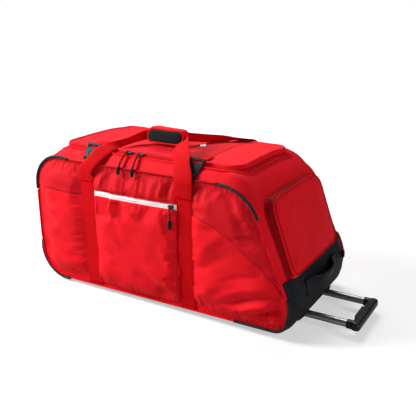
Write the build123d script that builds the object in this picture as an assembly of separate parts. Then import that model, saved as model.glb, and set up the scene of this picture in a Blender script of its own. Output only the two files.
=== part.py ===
from build123d import *
import os

# Rolling duffel bag. Millimetres, +Z up, the ground is Z = 0.
# +X is the end with the trolley handle, -X the end with the wheels, -Y the front.
# The origin is on the ground under the middle of the bag's overall box.

os.makedirs("parts", exist_ok=True)

# ---------------------------------------------------------------- driving dimensions
WEBBING = 50.0                    # two-inch webbing of the straps and handles
WEB_THICK = 2.0

BAG_LEFT, BAG_RIGHT = -462.0, 330.0
HALF_WIDTH = 190.5                # front and rear panels, 15 inches apart
BAG_FLOOR = 12.0                  # underside of the bag
SHOULDER_Z = 374.0                # top seam of the front and rear panels
TOP_Z = 404.0                     # flat top that the lid lies on
TOP_HALF = 162.0                  # half depth of that flat top
FABRIC = 4.0                      # padded fabric with its lining
CORNER_R = 84.0                   # round of the bottom corner above the wheels

LID_X = (-375.0, 173.0)
LID_Y = (-149.0, 158.0)
LID_GAP = 0.6
LID_THICK = 6.0
LID_CORNER = 40.0
MOUTH_X = (-350.0, 148.0)         # the opening under the lid
MOUTH_Y = (-136.0, 140.0)

STRAP_X = (-270.0, 45.0)          # middle of the left and right straps
STRAP_Z = (24.0, 343.0)
HANDLE_PIVOT_Z = 346.0
RISER_Y = 196.0                   # middle of the riser webbing
FOLDED = 26.0                     # webbing folded double where it is held
WRAP_X = (-171.0, -54.0)
WRAP_Y = (-74.0, -38.0)
WRAP_Z = (413.0, 454.0)

WHEEL_X, WHEEL_R = -434.0, 36.0
WHEEL_Y = (124.0, 148.0)          # inner and outer face of each wheel
AXLE_R = 4.0
BEARING_R, BEARING_W = 11.0, 7.0
WELL_R = 41.0
WELL_WALL = 4.0
GUARD_THICK = 5.0
CHEEK_IN, CHEEK_OUT = 14.0, 10.0   # outer faces of the cheeks, from the wheel's faces

TUBE_Y, TUBE_Z = 70.0, 27.5       # axis of each trolley tube
GUIDE_R, GUIDE_BORE = 11.0, 10.0
TUBE_R, TUBE_BORE = 9.5, 8.3
RUNNING = 0.05                    # radial clearance of a running fit
GUIDE_X = (-250.0, 312.0)
TUBE_X = (-121.0, 450.0)
GRIP_X = (450.0, 474.0)
GRIP_HALF_Y = 84.0
GRIP_HALF_Z = 11.0
GRIP_LEG_X = 439.0
LATCH_X = -105.0                  # latch pins, with the handle as it stands at rest
STOWED, EXTENDED = -105.0, 300.0  # travel of the handle to each latched place
PIN_R = 3.0
ROD_R = 2.5

END_BASE_TOP = 152.0
END_BASE_X = 341.0

SIDES = {"front": -1, "rear": 1}
ENDS = ("left", "right")

parts = {}


# ---------------------------------------------------------------- helpers
def box(x, y, z):
    """A box between two X, two Y and two Z values."""
    size = [abs(b - a) for a, b in (x, y, z)]
    middle = [(a + b) / 2 for a, b in (x, y, z)]
    return Pos(*middle) * Box(*size)


def outline(points, radii):
    """A closed face with a rounded corner at each point."""
    return make_face(FilletPolyline(*points, radius=radii, close=True))


def prism_y(face, low, high):
    """A face drawn in X and Z, extruded from Y = low to Y = high."""
    return Pos(0, high, 0) * extrude(Plane.XZ * face, amount=high - low)


def prism_x(face, low, high):
    """A face drawn in Y and Z, extruded from X = low to X = high."""
    return Pos(low, 0, 0) * extrude(Plane.YZ * face, amount=high - low)


def prism_z(face, low, high):
    """A face drawn in X and Y, extruded from Z = low to Z = high."""
    return Pos(0, 0, low) * extrude(face, amount=high - low)


def rounded_plate(x, y, z, corner):
    """A plate with rounded corners in plan."""
    face = Pos((x[0] + x[1]) / 2, (y[0] + y[1]) / 2) * RectangleRounded(x[1] - x[0], y[1] - y[0], corner)
    return prism_z(face, *z)


def rod_x(x, y, z, radius):
    """A round bar along X."""
    return Pos((x[0] + x[1]) / 2, y, z) * Rot(0, 90, 0) * Cylinder(radius, x[1] - x[0])


def rod_y(x, y, z, radius):
    """A round bar along Y."""
    return Pos(x, (y[0] + y[1]) / 2, z) * Rot(90, 0, 0) * Cylinder(radius, abs(y[1] - y[0]))


def rod_z(x, y, z, radius):
    """A round bar along Z."""
    return Pos(x, y, (z[0] + z[1]) / 2) * Cylinder(radius, z[1] - z[0])


def span(side, low, high):
    """The Y values low to high on the front (-1) or the rear (1), in rising order."""
    return tuple(sorted((side * low, side * high)))


def housing_span(side):
    """The Y stretch from a housing's inner cheek to its outer cheek."""
    return span(side, WHEEL_Y[0] - CHEEK_IN, WHEEL_Y[1] + CHEEK_OUT)


def ribbon(stations):
    """Flat webbing through stations of (centre, direction, width direction, width)."""
    faces = []
    for centre, along, across, width in stations:
        plane = Plane(origin=centre, x_dir=across, z_dir=along)
        faces.append(plane * Rectangle(width, WEB_THICK))
    return loft(faces, ruled=True)


# ---------------------------------------------------------------- bag body
def body_face(inset=0.0):
    """The bag's side outline, or the same outline moved inwards."""
    points = [(BAG_LEFT, BAG_FLOOR), (BAG_RIGHT, BAG_FLOOR), (BAG_RIGHT - 2, 100), (231, 330),
              (LID_X[1], TOP_Z), (LID_X[0], TOP_Z), (BAG_LEFT, 338)]
    face = outline(points, [CORNER_R, 30, 40, 15, 20, 60, 40])
    return offset(face, amount=-inset) if inset else face


def section_face(inset=0.0):
    """The bag's cross-section: upright panels with sloping shoulders."""
    face = make_face(Polyline((-HALF_WIDTH, 0), (HALF_WIDTH, 0), (HALF_WIDTH, SHOULDER_Z), (TOP_HALF, TOP_Z),
                              (-TOP_HALF, TOP_Z), (-HALF_WIDTH, SHOULDER_Z), close=True))
    return offset(face, amount=-inset, kind=Kind.INTERSECTION) if inset else face


def body_solid(inset=0.0):
    """The bag's whole volume, without any opening."""
    block = prism_y(body_face(inset), -HALF_WIDTH + inset, HALF_WIDTH - inset)
    return block & prism_x(section_face(inset), BAG_LEFT - 10, BAG_RIGHT + 10)


BEZEL_X = (292.0, 334.0)
BEZEL_HALF_Y = 94.0
BEZEL_Z = (12.0, 46.0)
whole_bag = body_solid()


def main_shell():
    """The sewn bag: hollow, with a mouth under the lid and cut-outs for wheels and trolley."""
    shell = whole_bag - body_solid(FABRIC)
    shell -= rounded_plate(MOUTH_X, MOUTH_Y, (TOP_Z - 20, TOP_Z + 1), 30)
    shell -= box(BEZEL_X, (-BEZEL_HALF_Y, BEZEL_HALF_Y), (0, BEZEL_Z[1]))
    for side in SIDES.values():
        shell -= rod_y(WHEEL_X, housing_span(side), WHEEL_R, WELL_R + WELL_WALL)
    return shell


BOARD_TOP = BAG_FLOOR + FABRIC + 2.0


def base_board():
    """A stiff sheet on the bag's floor, under the guide tubes."""
    return box((-372, 286), (-108, 108), (BAG_FLOOR + FABRIC, BOARD_TOP)) - tube_cuts(GUIDE_R)


def tube_cuts(radius):
    """Both guide tubes' outer shape, to cut a trough for them."""
    return [rod_x((GUIDE_X[0], GUIDE_X[1]), side * TUBE_Y, TUBE_Z, radius) for side in SIDES.values()]


def floor_board():
    """The false floor over the guide tubes."""
    return rounded_plate((-370, 284), (-176, 176), (TUBE_Z + GUIDE_R, TUBE_Z + GUIDE_R + 2.5), 20)


def floor_rails():
    """Two foam rails that carry the false floor's long edges."""
    rails = [box((-345, 280), span(side, 135, 170), (BAG_FLOOR + FABRIC, TUBE_Z + GUIDE_R))
             for side in SIDES.values()]
    return Compound(children=rails)


parts["main_shell"] = main_shell()
parts["base_board"] = base_board()
parts["floor_board"] = floor_board()
parts["floor_rails"] = floor_rails()


# ---------------------------------------------------------------- wheels and their housings
ARC_X = BAG_LEFT + CORNER_R
ARC_Z = BAG_FLOOR + CORNER_R


def corner_sector(radius):
    """The part of a disc about the corner's centre that lies below and left of it."""
    disc = Pos(ARC_X, ARC_Z) * Circle(radius)
    quarter = Pos(ARC_X - radius / 2 + 5, ARC_Z - radius / 2 + 5) * Rectangle(radius + 10, radius + 10)
    return disc & quarter


def wheel_housing(side):
    """A moulded well with two cheeks for the axle and a guard along the bag's corner."""
    cheeks = prism_y(corner_sector(CORNER_R + GUARD_THICK), *housing_span(side))
    drum = rod_y(WHEEL_X, housing_span(side), WHEEL_R, WELL_R + WELL_WALL)
    guard_face = corner_sector(CORNER_R + GUARD_THICK) - Pos(ARC_X, ARC_Z) * Circle(CORNER_R)
    guard = prism_y(guard_face, *span(side, WHEEL_Y[1] + 5, HALF_WIDTH)) - whole_bag
    well = rod_y(WHEEL_X, span(side, WHEEL_Y[0] - 5, WHEEL_Y[1] + 5), WHEEL_R, WELL_R)
    return (cheeks & drum) + guard - well - axle(side)


def wheel_tyre(side):
    """A rubber tyre with rounded shoulders and a centre groove."""
    tyre = rod_y(WHEEL_X, span(side, *WHEEL_Y), WHEEL_R, WHEEL_R)
    tyre = fillet(tyre.edges().filter_by(GeomType.CIRCLE), 4)
    middle = side * sum(WHEEL_Y) / 2
    groove = rod_y(WHEEL_X, (middle - 1.5, middle + 1.5), WHEEL_R, WHEEL_R + 1)
    groove -= rod_y(WHEEL_X, (middle - 2, middle + 2), WHEEL_R, WHEEL_R - 1.5)
    return tyre - groove - rod_y(WHEEL_X, span(side, *WHEEL_Y), WHEEL_R, WHEEL_R - 8)


def wheel_hub(side):
    """A hub with a web, a rim for the tyre and a seat for a bearing at each face."""
    hub = rod_y(WHEEL_X, span(side, *WHEEL_Y), WHEEL_R, WHEEL_R - 8)
    dish = 5
    for low, high in ((WHEEL_Y[0], WHEEL_Y[0] + dish), (WHEEL_Y[1] - dish, WHEEL_Y[1])):
        ring = rod_y(WHEEL_X, span(side, low, high), WHEEL_R, WHEEL_R - 12)
        hub -= ring - rod_y(WHEEL_X, span(side, low, high), WHEEL_R, BEARING_R + 3.5)
    hub -= rod_y(WHEEL_X, span(side, *WHEEL_Y), WHEEL_R, AXLE_R + 1.5)
    for low, high in bearing_seats():
        hub -= rod_y(WHEEL_X, span(side, low, high), WHEEL_R, BEARING_R)
    return hub


def bearing_seats():
    """The Y stretch of each of a wheel's two bearings."""
    return (WHEEL_Y[0], WHEEL_Y[0] + BEARING_W), (WHEEL_Y[1] - BEARING_W, WHEEL_Y[1])


def wheel_bearings(side):
    """Two ball bearings, each as one ring that runs on the axle."""
    rings = []
    for low, high in bearing_seats():
        ring = rod_y(WHEEL_X, span(side, low, high), WHEEL_R, BEARING_R)
        rings.append(ring - rod_y(WHEEL_X, span(side, low, high), WHEEL_R, AXLE_R + RUNNING))
    return Compound(children=rings)


def axle(side):
    """A steel axle with a head sunk in the inner cheek."""
    head_from, head_to = WHEEL_Y[0] - CHEEK_IN, WHEEL_Y[0] - CHEEK_IN + 3
    shaft = rod_y(WHEEL_X, span(side, head_to, WHEEL_Y[1] + CHEEK_OUT), WHEEL_R, AXLE_R)
    return shaft + rod_y(WHEEL_X, span(side, head_from, head_to), WHEEL_R, AXLE_R + 3)


for name, side in SIDES.items():
    parts[f"wheel_housing_{name}"] = wheel_housing(side)
    parts[f"wheel_tyre_{name}"] = wheel_tyre(side)
    parts[f"wheel_hub_{name}"] = wheel_hub(side)
    parts[f"wheel_bearings_{name}"] = wheel_bearings(side)

parts["wheel_axles"] = Compound(children=[axle(side) for side in SIDES.values()])


# ---------------------------------------------------------------- black end base
def end_base_panel():
    """The reinforced panel that wraps the lower part of the handle end."""
    face = outline([(288, 10), (316, 10), (334, 52), (END_BASE_X, 92), (END_BASE_X, 134), (322, END_BASE_TOP),
                    (288, END_BASE_TOP)], [1, 8, 30, 12, 12, 8, 1])
    panel = prism_y(face, -HALF_WIDTH + 3, HALF_WIDTH - 3) - whole_bag
    panel -= box((270, 360), (-BEZEL_HALF_Y, BEZEL_HALF_Y), (0, BEZEL_Z[1]))
    panel = panel - box((GRAB_BACK, 360), (-GRAB_HALF + 16, GRAB_HALF - 16), (84, 160))
    return panel.solids().sort_by(SortBy.VOLUME)[-1]


GRAB_BACK = 333.0
GRAB_HALF = 84.0
GRAB_Z = (88.0, 130.0)


def end_grab_handle():
    """A padded band that stands off the end base, with room for fingers behind it."""
    face = outline([(END_BASE_X, -GRAB_HALF), (END_BASE_X + 3, -GRAB_HALF), (END_BASE_X + 13, -GRAB_HALF + 30),
                    (END_BASE_X + 13, GRAB_HALF - 30), (END_BASE_X + 3, GRAB_HALF), (END_BASE_X, GRAB_HALF),
                    (END_BASE_X, GRAB_HALF - 16), (END_BASE_X + 9, GRAB_HALF - 34),
                    (END_BASE_X + 9, -GRAB_HALF + 34), (END_BASE_X, -GRAB_HALF + 16)],
                   [0.5, 1, 20, 20, 1, 0.5, 1, 16, 16, 1])
    return prism_z(face, *GRAB_Z)


parts["end_base_panel"] = end_base_panel()
parts["end_grab_handle"] = end_grab_handle()


# ---------------------------------------------------------------- front and end pockets
PANEL_Y = HALF_WIDTH
POCKET_X = (STRAP_X[0] + WEBBING / 2 + 1, STRAP_X[1] - WEBBING / 2 - 1)
ZIP_Z = (289.0, 302.0)


def front_pocket():
    """The padded front of the pocket between the straps."""
    return box(POCKET_X, (-PANEL_Y - 4, -PANEL_Y), (34, ZIP_Z[0] - 1))


def front_zipper_tape():
    """The zipper tape across the pocket's mouth, with a raised coil."""
    middle = sum(ZIP_Z) / 2
    tape = box(POCKET_X, (-PANEL_Y - 1.5, -PANEL_Y), ZIP_Z)
    return tape + box(POCKET_X, (-PANEL_Y - 2.5, -PANEL_Y), (middle - 2, middle + 2))


END_TILT = 23.9                   # lean of the handle end from upright, in degrees
END_FOOT = (324.0, 118.0)


def on_end(distance, standoff):
    """X and Z of a point up the leaning end, and out from its face."""
    along = Vector(0, 1).rotate(Axis.Z, END_TILT)
    out = Vector(1, 0).rotate(Axis.Z, END_TILT)
    place = Vector(*END_FOOT) + along * distance + out * standoff
    return place.X, place.Y


POCKET_Y = (-140.0, 148.0)
POCKET_UP = (38.0, 236.0)
POCKET_DEEP = 28.0


def end_pocket():
    """The pocket on the handle end: a padded block that narrows a little outwards."""
    width = POCKET_Y[1] - POCKET_Y[0]
    length = POCKET_UP[1] - POCKET_UP[0]
    faces = []
    for standoff, shrink in ((1.0, 0), (POCKET_DEEP, 14)):
        x, z = on_end((POCKET_UP[0] + POCKET_UP[1]) / 2, standoff)
        plane = Plane(origin=(x, sum(POCKET_Y) / 2, z), x_dir=(0, 1, 0),
                      z_dir=(Vector(1, 0).rotate(Axis.Z, END_TILT).X, 0,
                             Vector(1, 0).rotate(Axis.Z, END_TILT).Y))
        faces.append(plane * RectangleRounded(width - shrink, length - shrink, 40))
    return loft(faces, ruled=True) - whole_bag - parts["end_base_panel"]


parts["front_pocket"] = front_pocket()
parts["front_zipper_tape"] = front_zipper_tape()
parts["end_pocket"] = end_pocket()


# ---------------------------------------------------------------- straps and piping
def strap(middle, side):
    """A vertical webbing strap sewn flat on the front or the rear panel."""
    return box((middle - WEBBING / 2, middle + WEBBING / 2), span(side, HALF_WIDTH, HALF_WIDTH + WEB_THICK),
               STRAP_Z)


for end, middle in zip(ENDS, STRAP_X):
    parts[f"front_strap_{end}"] = strap(middle, -1)
parts["rear_straps"] = Compound(children=[strap(middle, 1) for middle in STRAP_X])


def piping(side):
    """A round piping cord along the outline of the front or the rear panel."""
    ring = body_face(-3.0) - body_face(0.0)
    band = prism_y(ring, *span(side, HALF_WIDTH - 5, HALF_WIDTH + 1))
    band &= box((-500, 360), (-200, 200), (0, SHOULDER_Z + 4))
    band -= whole_bag
    for other in ("end_base_panel", "wheel_housing_front", "wheel_housing_rear"):
        band -= parts[other]
    return band.solids().sort_by(SortBy.VOLUME)[-1]


# ---------------------------------------------------------------- lid
LID_Z = (TOP_Z + LID_GAP, TOP_Z + LID_GAP + LID_THICK)


def lid_panel():
    """The padded lid, with a dropped middle that finds its place in the mouth."""
    return rounded_plate(LID_X, LID_Y, LID_Z, LID_CORNER)


def lid_zipper_tape():
    """The zipper tape round the lid's three free sides, on top of its edge."""
    outer = rounded_plate(LID_X, (LID_Y[0], LID_Y[1] - 20), (LID_Z[1], LID_Z[1] + 1.5), LID_CORNER)
    inner = rounded_plate((LID_X[0] + 12, LID_X[1] - 12), (LID_Y[0] + 12, LID_Y[1] + 20),
                          (LID_Z[1], LID_Z[1] + 1.5), LID_CORNER - 12)
    return outer - inner


RIM_Y = (-161.0, -150.5)


def rim_zipper_tape():
    """The other half of the zipper, sewn to the bag's rim in front of the lid."""
    return box((LID_X[0] + 30, LID_X[1] - 30), RIM_Y, (TOP_Z, TOP_Z + 1.2))


def lid_hinge_strip():
    """The sewn strip that the lid folds up from, along the rear of the mouth."""
    return box((LID_X[0] + 30, LID_X[1] - 30), (LID_Y[1] + 2.5, LID_Y[1] + 4), (TOP_Z, TOP_Z + 4))


parts["lid_panel"] = lid_panel()
parts["lid_zipper_tape"] = lid_zipper_tape()
parts["rim_zipper_tape"] = rim_zipper_tape()
parts["lid_hinge_strip"] = lid_hinge_strip()


# ---------------------------------------------------------------- handles
def handle(side, grip_y):
    """A webbing loop that rises from both straps to a folded grip in the middle."""
    high = 392.0 if side < 0 else 402.0
    knee_y = side * (150.0 if side < 0 else 132.0)
    grip_z = 436.0
    left, right = STRAP_X
    inward = -side
    return ribbon([
        ((left, side * RISER_Y, HANDLE_PIVOT_Z + 1), (0, 0, 1), (1, 0, 0), WEBBING - 2),
        ((left, side * RISER_Y, high), (0.1, 0.15 * inward, 1), (1, 0, -0.1), WEBBING - 2),
        ((left + 34, knee_y, 434), (0.75, 0.6 * inward, 0.3), (0.7, 0, -0.5), 38),
        ((WRAP_X[0] + 3, grip_y, grip_z), (1, 0, 0), (0, 0, -1), FOLDED),
        ((WRAP_X[1] - 3, grip_y, grip_z), (1, 0, 0), (0, 0, -1), FOLDED),
        ((right - 34, knee_y, 440), (0.75, -0.6 * inward, -0.3), (-0.7, 0, -0.5), 38),
        ((right, side * RISER_Y, high), (0.1, -0.15 * inward, -1), (-1, 0, -0.1), WEBBING - 2),
        ((right, side * RISER_Y, HANDLE_PIVOT_Z + 1), (0, 0, -1), (-1, 0, 0), WEBBING - 2),
    ])


GRIP_Y = {"front": -56.0, "rear": -34.0}
for name, side in SIDES.items():
    parts[f"{name}_handle"] = handle(side, GRIP_Y[name])


def handle_wrap():
    """The padded wrap that closes round the front handle's grip."""
    block = box(WRAP_X, WRAP_Y, WRAP_Z)
    block = fillet(block.edges().filter_by(Axis.X), 10)
    return block - parts["front_handle"]


parts["handle_wrap"] = handle_wrap()


# ---------------------------------------------------------------- compression buckles
BUCKLE_X = {"left": -271.0, "right": 55.0}
PLUG_Y = -186.5
PLUG_Z = (383.0, 394.0)
SOCKET_Z = (374.0, 392.0)
BUCKLE_TOP = (-158.0, 416.0)


def buckle(middle):
    """The male half: a slotted bar that tapers to a plug."""
    rise = Vector(BUCKLE_TOP[0] - PLUG_Y, BUCKLE_TOP[1] - PLUG_Z[1])
    length = rise.length
    plane = Plane(origin=(middle, PLUG_Y, PLUG_Z[1]), x_dir=(1, 0, 0), z_dir=(0, -rise.Y, rise.X))
    shape = make_face(Polyline((-8, 0), (8, 0), (21, length - 10), (21, length), (-21, length),
                               (-21, length - 10), close=True))
    slot = Pos(0, length - 7) * Rectangle(34, 5)
    body = extrude(plane * (shape - slot), amount=2, both=True)
    plug = box((middle - 8, middle + 8), (PLUG_Y - 1.5, PLUG_Y + 1.5), (PLUG_Z[0], PLUG_Z[1] + 1))
    return body + plug


def buckle_socket(middle):
    """The female half: a small open-topped sleeve on the bag's shoulder."""
    sleeve = box((middle - 13, middle + 13), (PLUG_Y - 5, PLUG_Y + 5), (SOCKET_Z[0] - 4, SOCKET_Z[1]))
    sleeve -= box((middle - 10, middle + 10), (PLUG_Y - 3.4, PLUG_Y + 3.4), (PLUG_Z[0] - 2, SOCKET_Z[1] + 1))
    return (sleeve - whole_bag).solids().sort_by(SortBy.VOLUME)[-1]


def lid_tab(middle):
    """The short webbing tab that holds the buckle to the lid."""
    top = LID_Z[1] + 1.5
    return box((middle - 17, middle + 17), (LID_Y[0] + 12.5, LID_Y[0] + 50), (LID_Z[1], LID_Z[1] + WEB_THICK)) \
        + box((middle - 16, middle + 16), (LID_Y[0] - 5, LID_Y[0] + 13), (top, top + WEB_THICK))


parts["lid_tabs"] = Compound(children=[lid_tab(middle) for middle in BUCKLE_X.values()])
for end, middle in BUCKLE_X.items():
    parts[f"buckle_{end}"] = buckle(middle) - lid_tab(middle)
    parts[f"buckle_socket_{end}"] = buckle_socket(middle)


# ---------------------------------------------------------------- zipper sliders and pulls
def slider_block(size_x, size_y, size_z):
    """A slider body with a bridge, standing on Z = 0 about the origin."""
    body = Pos(0, 0, size_z * 0.3) * Box(size_x, size_y, size_z * 0.6)
    bridge = Pos(0, 0, size_z * 0.75) * Box(size_x * 0.55, size_y * 0.4, size_z * 0.5)
    return body + bridge


def pull_piece(start, end):
    """A thin cord loop that ends in a flat moulded tip."""
    direction = Vector(*end) - Vector(*start)
    plane = Plane(origin=start, x_dir=(0, 1, 0) if abs(direction.X) > abs(direction.Y) else (1, 0, 0),
                  z_dir=direction)
    length = direction.length
    cord = extrude(plane * Rectangle(3.5, 2), amount=length * 0.6)
    tip_plane = plane.offset(length * 0.6 - 1)
    return cord + extrude(tip_plane * RectangleRounded(7, 3.4, 1.5), amount=length * 0.4)


LID_SLIDER_X = {"left": -160.0, "right": -118.0}
SLIDER_Y = -156.2
for end, place in LID_SLIDER_X.items():
    block = Pos(place, SLIDER_Y, TOP_Z + 1.5) * slider_block(14, 8.5, 7)
    parts[f"lid_slider_{end}"] = block
    parts[f"lid_pull_{end}"] = pull_piece((place, -163.5, 411.5), (place - 3, -202.0, 363.0))

POCKET_SLIDER = (0.0, -PANEL_Y - 2.8, 295.5)
parts["pocket_slider"] = Pos(*POCKET_SLIDER) * Rot(90, 0, 0) * slider_block(14, 10, 6)
parts["pocket_pull"] = pull_piece((0.0, -PANEL_Y - 6.4, 287.5), (0.0, -PANEL_Y - 7.4, 239.0))

END_SLIDER_UP = 52.0
END_SLIDER_Y = POCKET_Y[1] + 1.0


def end_slider():
    """The slider beside the end pocket's rear edge, on the leaning end."""
    x, z = on_end(END_SLIDER_UP, 4.5)
    place = Pos(x, END_SLIDER_Y + 6, z) * Rot(0, 90 - END_TILT, 0) * Rot(0, 0, 90)
    return place * slider_block(9, 14, 7)


def end_pull():
    """The pull of the end pocket's slider, hanging clear of the end base."""
    x, z = on_end(END_SLIDER_UP, 17.0)
    return pull_piece((x, END_SLIDER_Y + 6, z), (x + 32, END_SLIDER_Y + 6, z - 52))


parts["end_slider"] = end_slider()
parts["end_pull"] = end_pull()


# ---------------------------------------------------------------- trolley
def tube(x, y, outer, bore):
    """A round tube along X on a trolley axis."""
    return rod_x(x, y, TUBE_Z, outer) - rod_x(x, y, TUBE_Z, bore)


def guide_tube(side):
    """A fixed tube in the bag's floor, with a latch hole at each stop."""
    body = tube(GUIDE_X, side * TUBE_Y, GUIDE_R, GUIDE_BORE)
    for travel in (STOWED, EXTENDED):
        outward = span(side, TUBE_Y + 5, TUBE_Y + 15)
        body -= rod_y(LATCH_X + travel, outward, TUBE_Z, PIN_R + 0.4)
    return body


def inner_tube(side):
    """The sliding tube that carries the grip, with a hole for its latch pin."""
    body = tube(TUBE_X, side * TUBE_Y, TUBE_R, TUBE_BORE)
    return body - rod_y(LATCH_X, span(side, TUBE_Y + 5, TUBE_Y + 15), TUBE_Z, PIN_R + RUNNING)


def guide_bush(side):
    """The plastic bush in the mouth of a guide tube."""
    sleeve = (GUIDE_X[1] - 24, GUIDE_X[1])
    flange = (GUIDE_X[1], GUIDE_X[1] + 4)
    body = rod_x(sleeve, side * TUBE_Y, TUBE_Z, GUIDE_BORE) + rod_x(flange, side * TUBE_Y, TUBE_Z, GUIDE_R + 1)
    return body - rod_x((sleeve[0], flange[1]), side * TUBE_Y, TUBE_Z, TUBE_R + RUNNING)


def latch_block(side):
    """The plug in a sliding tube's inner end that guides the latch pin and the pull rod."""
    body = rod_x((TUBE_X[0] + 2, TUBE_X[0] + 41), side * TUBE_Y, TUBE_Z, TUBE_BORE)
    body -= rod_y(LATCH_X, span(side, TUBE_Y - 2, TUBE_Y + 9), TUBE_Z, PIN_R + RUNNING)
    return body - rod_x((LATCH_X + 7, TUBE_X[0] + 41), side * TUBE_Y, TUBE_Z, ROD_R + RUNNING)


def latch_pin(side):
    """A spring pin that reaches out through the tube wall."""
    return rod_y(LATCH_X, span(side, TUBE_Y + 1.5, TUBE_Y + 9.2), TUBE_Z, PIN_R)


for name, side in SIDES.items():
    parts[f"inner_tube_{name}"] = inner_tube(side)
    parts[f"latch_pin_{name}"] = latch_pin(side)
parts["guide_tubes"] = Compound(children=[guide_tube(side) for side in SIDES.values()])
parts["guide_bushes"] = Compound(children=[guide_bush(side) for side in SIDES.values()])
parts["latch_blocks"] = Compound(children=[latch_block(side) for side in SIDES.values()])


def trolley_bezel():
    """The moulded surround at the mouth of the guide tubes."""
    face = outline([(BEZEL_X[0], BEZEL_Z[0]), (318, BEZEL_Z[0]), (BEZEL_X[1], 30), (BEZEL_X[1], BEZEL_Z[1]),
                    (BEZEL_X[0], BEZEL_Z[1])], [1, 6, 8, 3, 1])
    body = prism_y(face, -BEZEL_HALF_Y, BEZEL_HALF_Y)
    recess = rounded_plate((GUIDE_X[1] + 4, 360), (-BEZEL_HALF_Y + 8, BEZEL_HALF_Y - 8),
                           (TUBE_Z - 13.5, TUBE_Z + 13.5), 6)
    body -= recess
    for side in SIDES.values():
        body -= rod_x((BEZEL_X[0], GUIDE_X[1]), side * TUBE_Y, TUBE_Z, GUIDE_R)
        body -= rod_x((GUIDE_X[1], GUIDE_X[1] + 5), side * TUBE_Y, TUBE_Z, GUIDE_R + 1)
    return body - parts["base_board"]


def tube_bracket():
    """The bracket that holds the closed ends of both guide tubes."""
    body = box((GUIDE_X[0] - 10, GUIDE_X[0] + 16), (-TUBE_Y - 22, TUBE_Y + 22), (BOARD_TOP, TUBE_Z + GUIDE_R))
    body -= box((GUIDE_X[0] - 10, GUIDE_X[0] + 16), (-TUBE_Y + 22, TUBE_Y - 22), (BOARD_TOP + 6, TUBE_Z + GUIDE_R))
    for side in SIDES.values():
        body -= rod_x((GUIDE_X[0], GUIDE_X[0] + 16), side * TUBE_Y, TUBE_Z, GUIDE_R)
    return body


def grip_body():
    """The whole grip, before it is split into its two halves."""
    bar = box(GRIP_X, (-GRIP_HALF_Y, GRIP_HALF_Y), (TUBE_Z - GRIP_HALF_Z, TUBE_Z + GRIP_HALF_Z))
    bar = fillet(bar.edges().filter_by(Axis.Z), 10)
    bar = fillet(bar.faces().filter_by(Axis.Z).edges(), 7)
    for side in SIDES.values():
        bar += rod_x((GRIP_LEG_X, GRIP_X[0] + 8), side * TUBE_Y, TUBE_Z, 12.0)
        bar -= rod_x((GRIP_LEG_X, TUBE_X[1]), side * TUBE_Y, TUBE_Z, TUBE_R)
        bar -= rod_x((TUBE_X[1], 456), side * TUBE_Y, TUBE_Z, ROD_R + 1)
    bar -= box((453, 468), (-76, 76), (TUBE_Z - 6, TUBE_Z + 6))
    return bar - box((GRIP_X[0] - 1, 455), (-31, 31), (TUBE_Z - 6, TUBE_Z + 6))


whole_grip = grip_body()
parts["grip_lower"] = whole_grip & box((400, 500), (-100, 100), (0, TUBE_Z))
parts["grip_upper"] = whole_grip & box((400, 500), (-100, 100), (TUBE_Z, 60))
parts["grip_button"] = box((445, 455.4), (-30, 30), (TUBE_Z - 5.4, TUBE_Z + 5.4))
parts["button_yoke"] = box((455.4, 459), (-75, 75), (TUBE_Z - 5.4, TUBE_Z + 5.4))
parts["pull_rods"] = Compound(children=[rod_x((LATCH_X + 9, 455.4), side * TUBE_Y, TUBE_Z, ROD_R)
                                        for side in SIDES.values()])
parts["trolley_bezel"] = trolley_bezel()
parts["tube_bracket"] = tube_bracket()


# ---------------------------------------------------------------- feet, screws
FOOT_X = (236.0, 284.0)
FOOT_Y = (92.0, 136.0)


def skid_foot(side):
    """A moulded foot that lifts the handle end to the wheels' height."""
    face = outline([(FOOT_X[0], BAG_FLOOR), (FOOT_X[0] + 6, 0), (FOOT_X[1] - 6, 0), (FOOT_X[1], BAG_FLOOR)],
                   [0.5, 5, 5, 0.5])
    return prism_y(face, *span(side, *FOOT_Y))


def foot_screw(x, side):
    """A screw whose head is sunk in a foot."""
    y = side * sum(FOOT_Y) / 2
    return rod_z(x, y, (3, 5.5), 4.5) + rod_z(x, y, (5.5, BAG_FLOOR), 2)


SCREW_X = (FOOT_X[0] + 14, FOOT_X[1] - 14)
for name, side in SIDES.items():
    foot = skid_foot(side)
    for x in SCREW_X:
        foot -= foot_screw(x, side)
        foot -= rod_z(x, side * sum(FOOT_Y) / 2, (-1, 3), 4.5)
    parts[f"skid_foot_{name}"] = foot
parts["foot_screws"] = Compound(children=[foot_screw(x, side) for x in SCREW_X for side in SIDES.values()])

for name, side in SIDES.items():
    parts[f"{name}_piping"] = piping(side)


# ---------------------------------------------------------------- export
for name, solid in parts.items():
    export_step(solid, f"parts/{name}.step")
print(len(parts), "parts written")
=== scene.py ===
import math

import bmesh
import bpy
import numpy as np
from mathutils import Matrix, Vector


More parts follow.
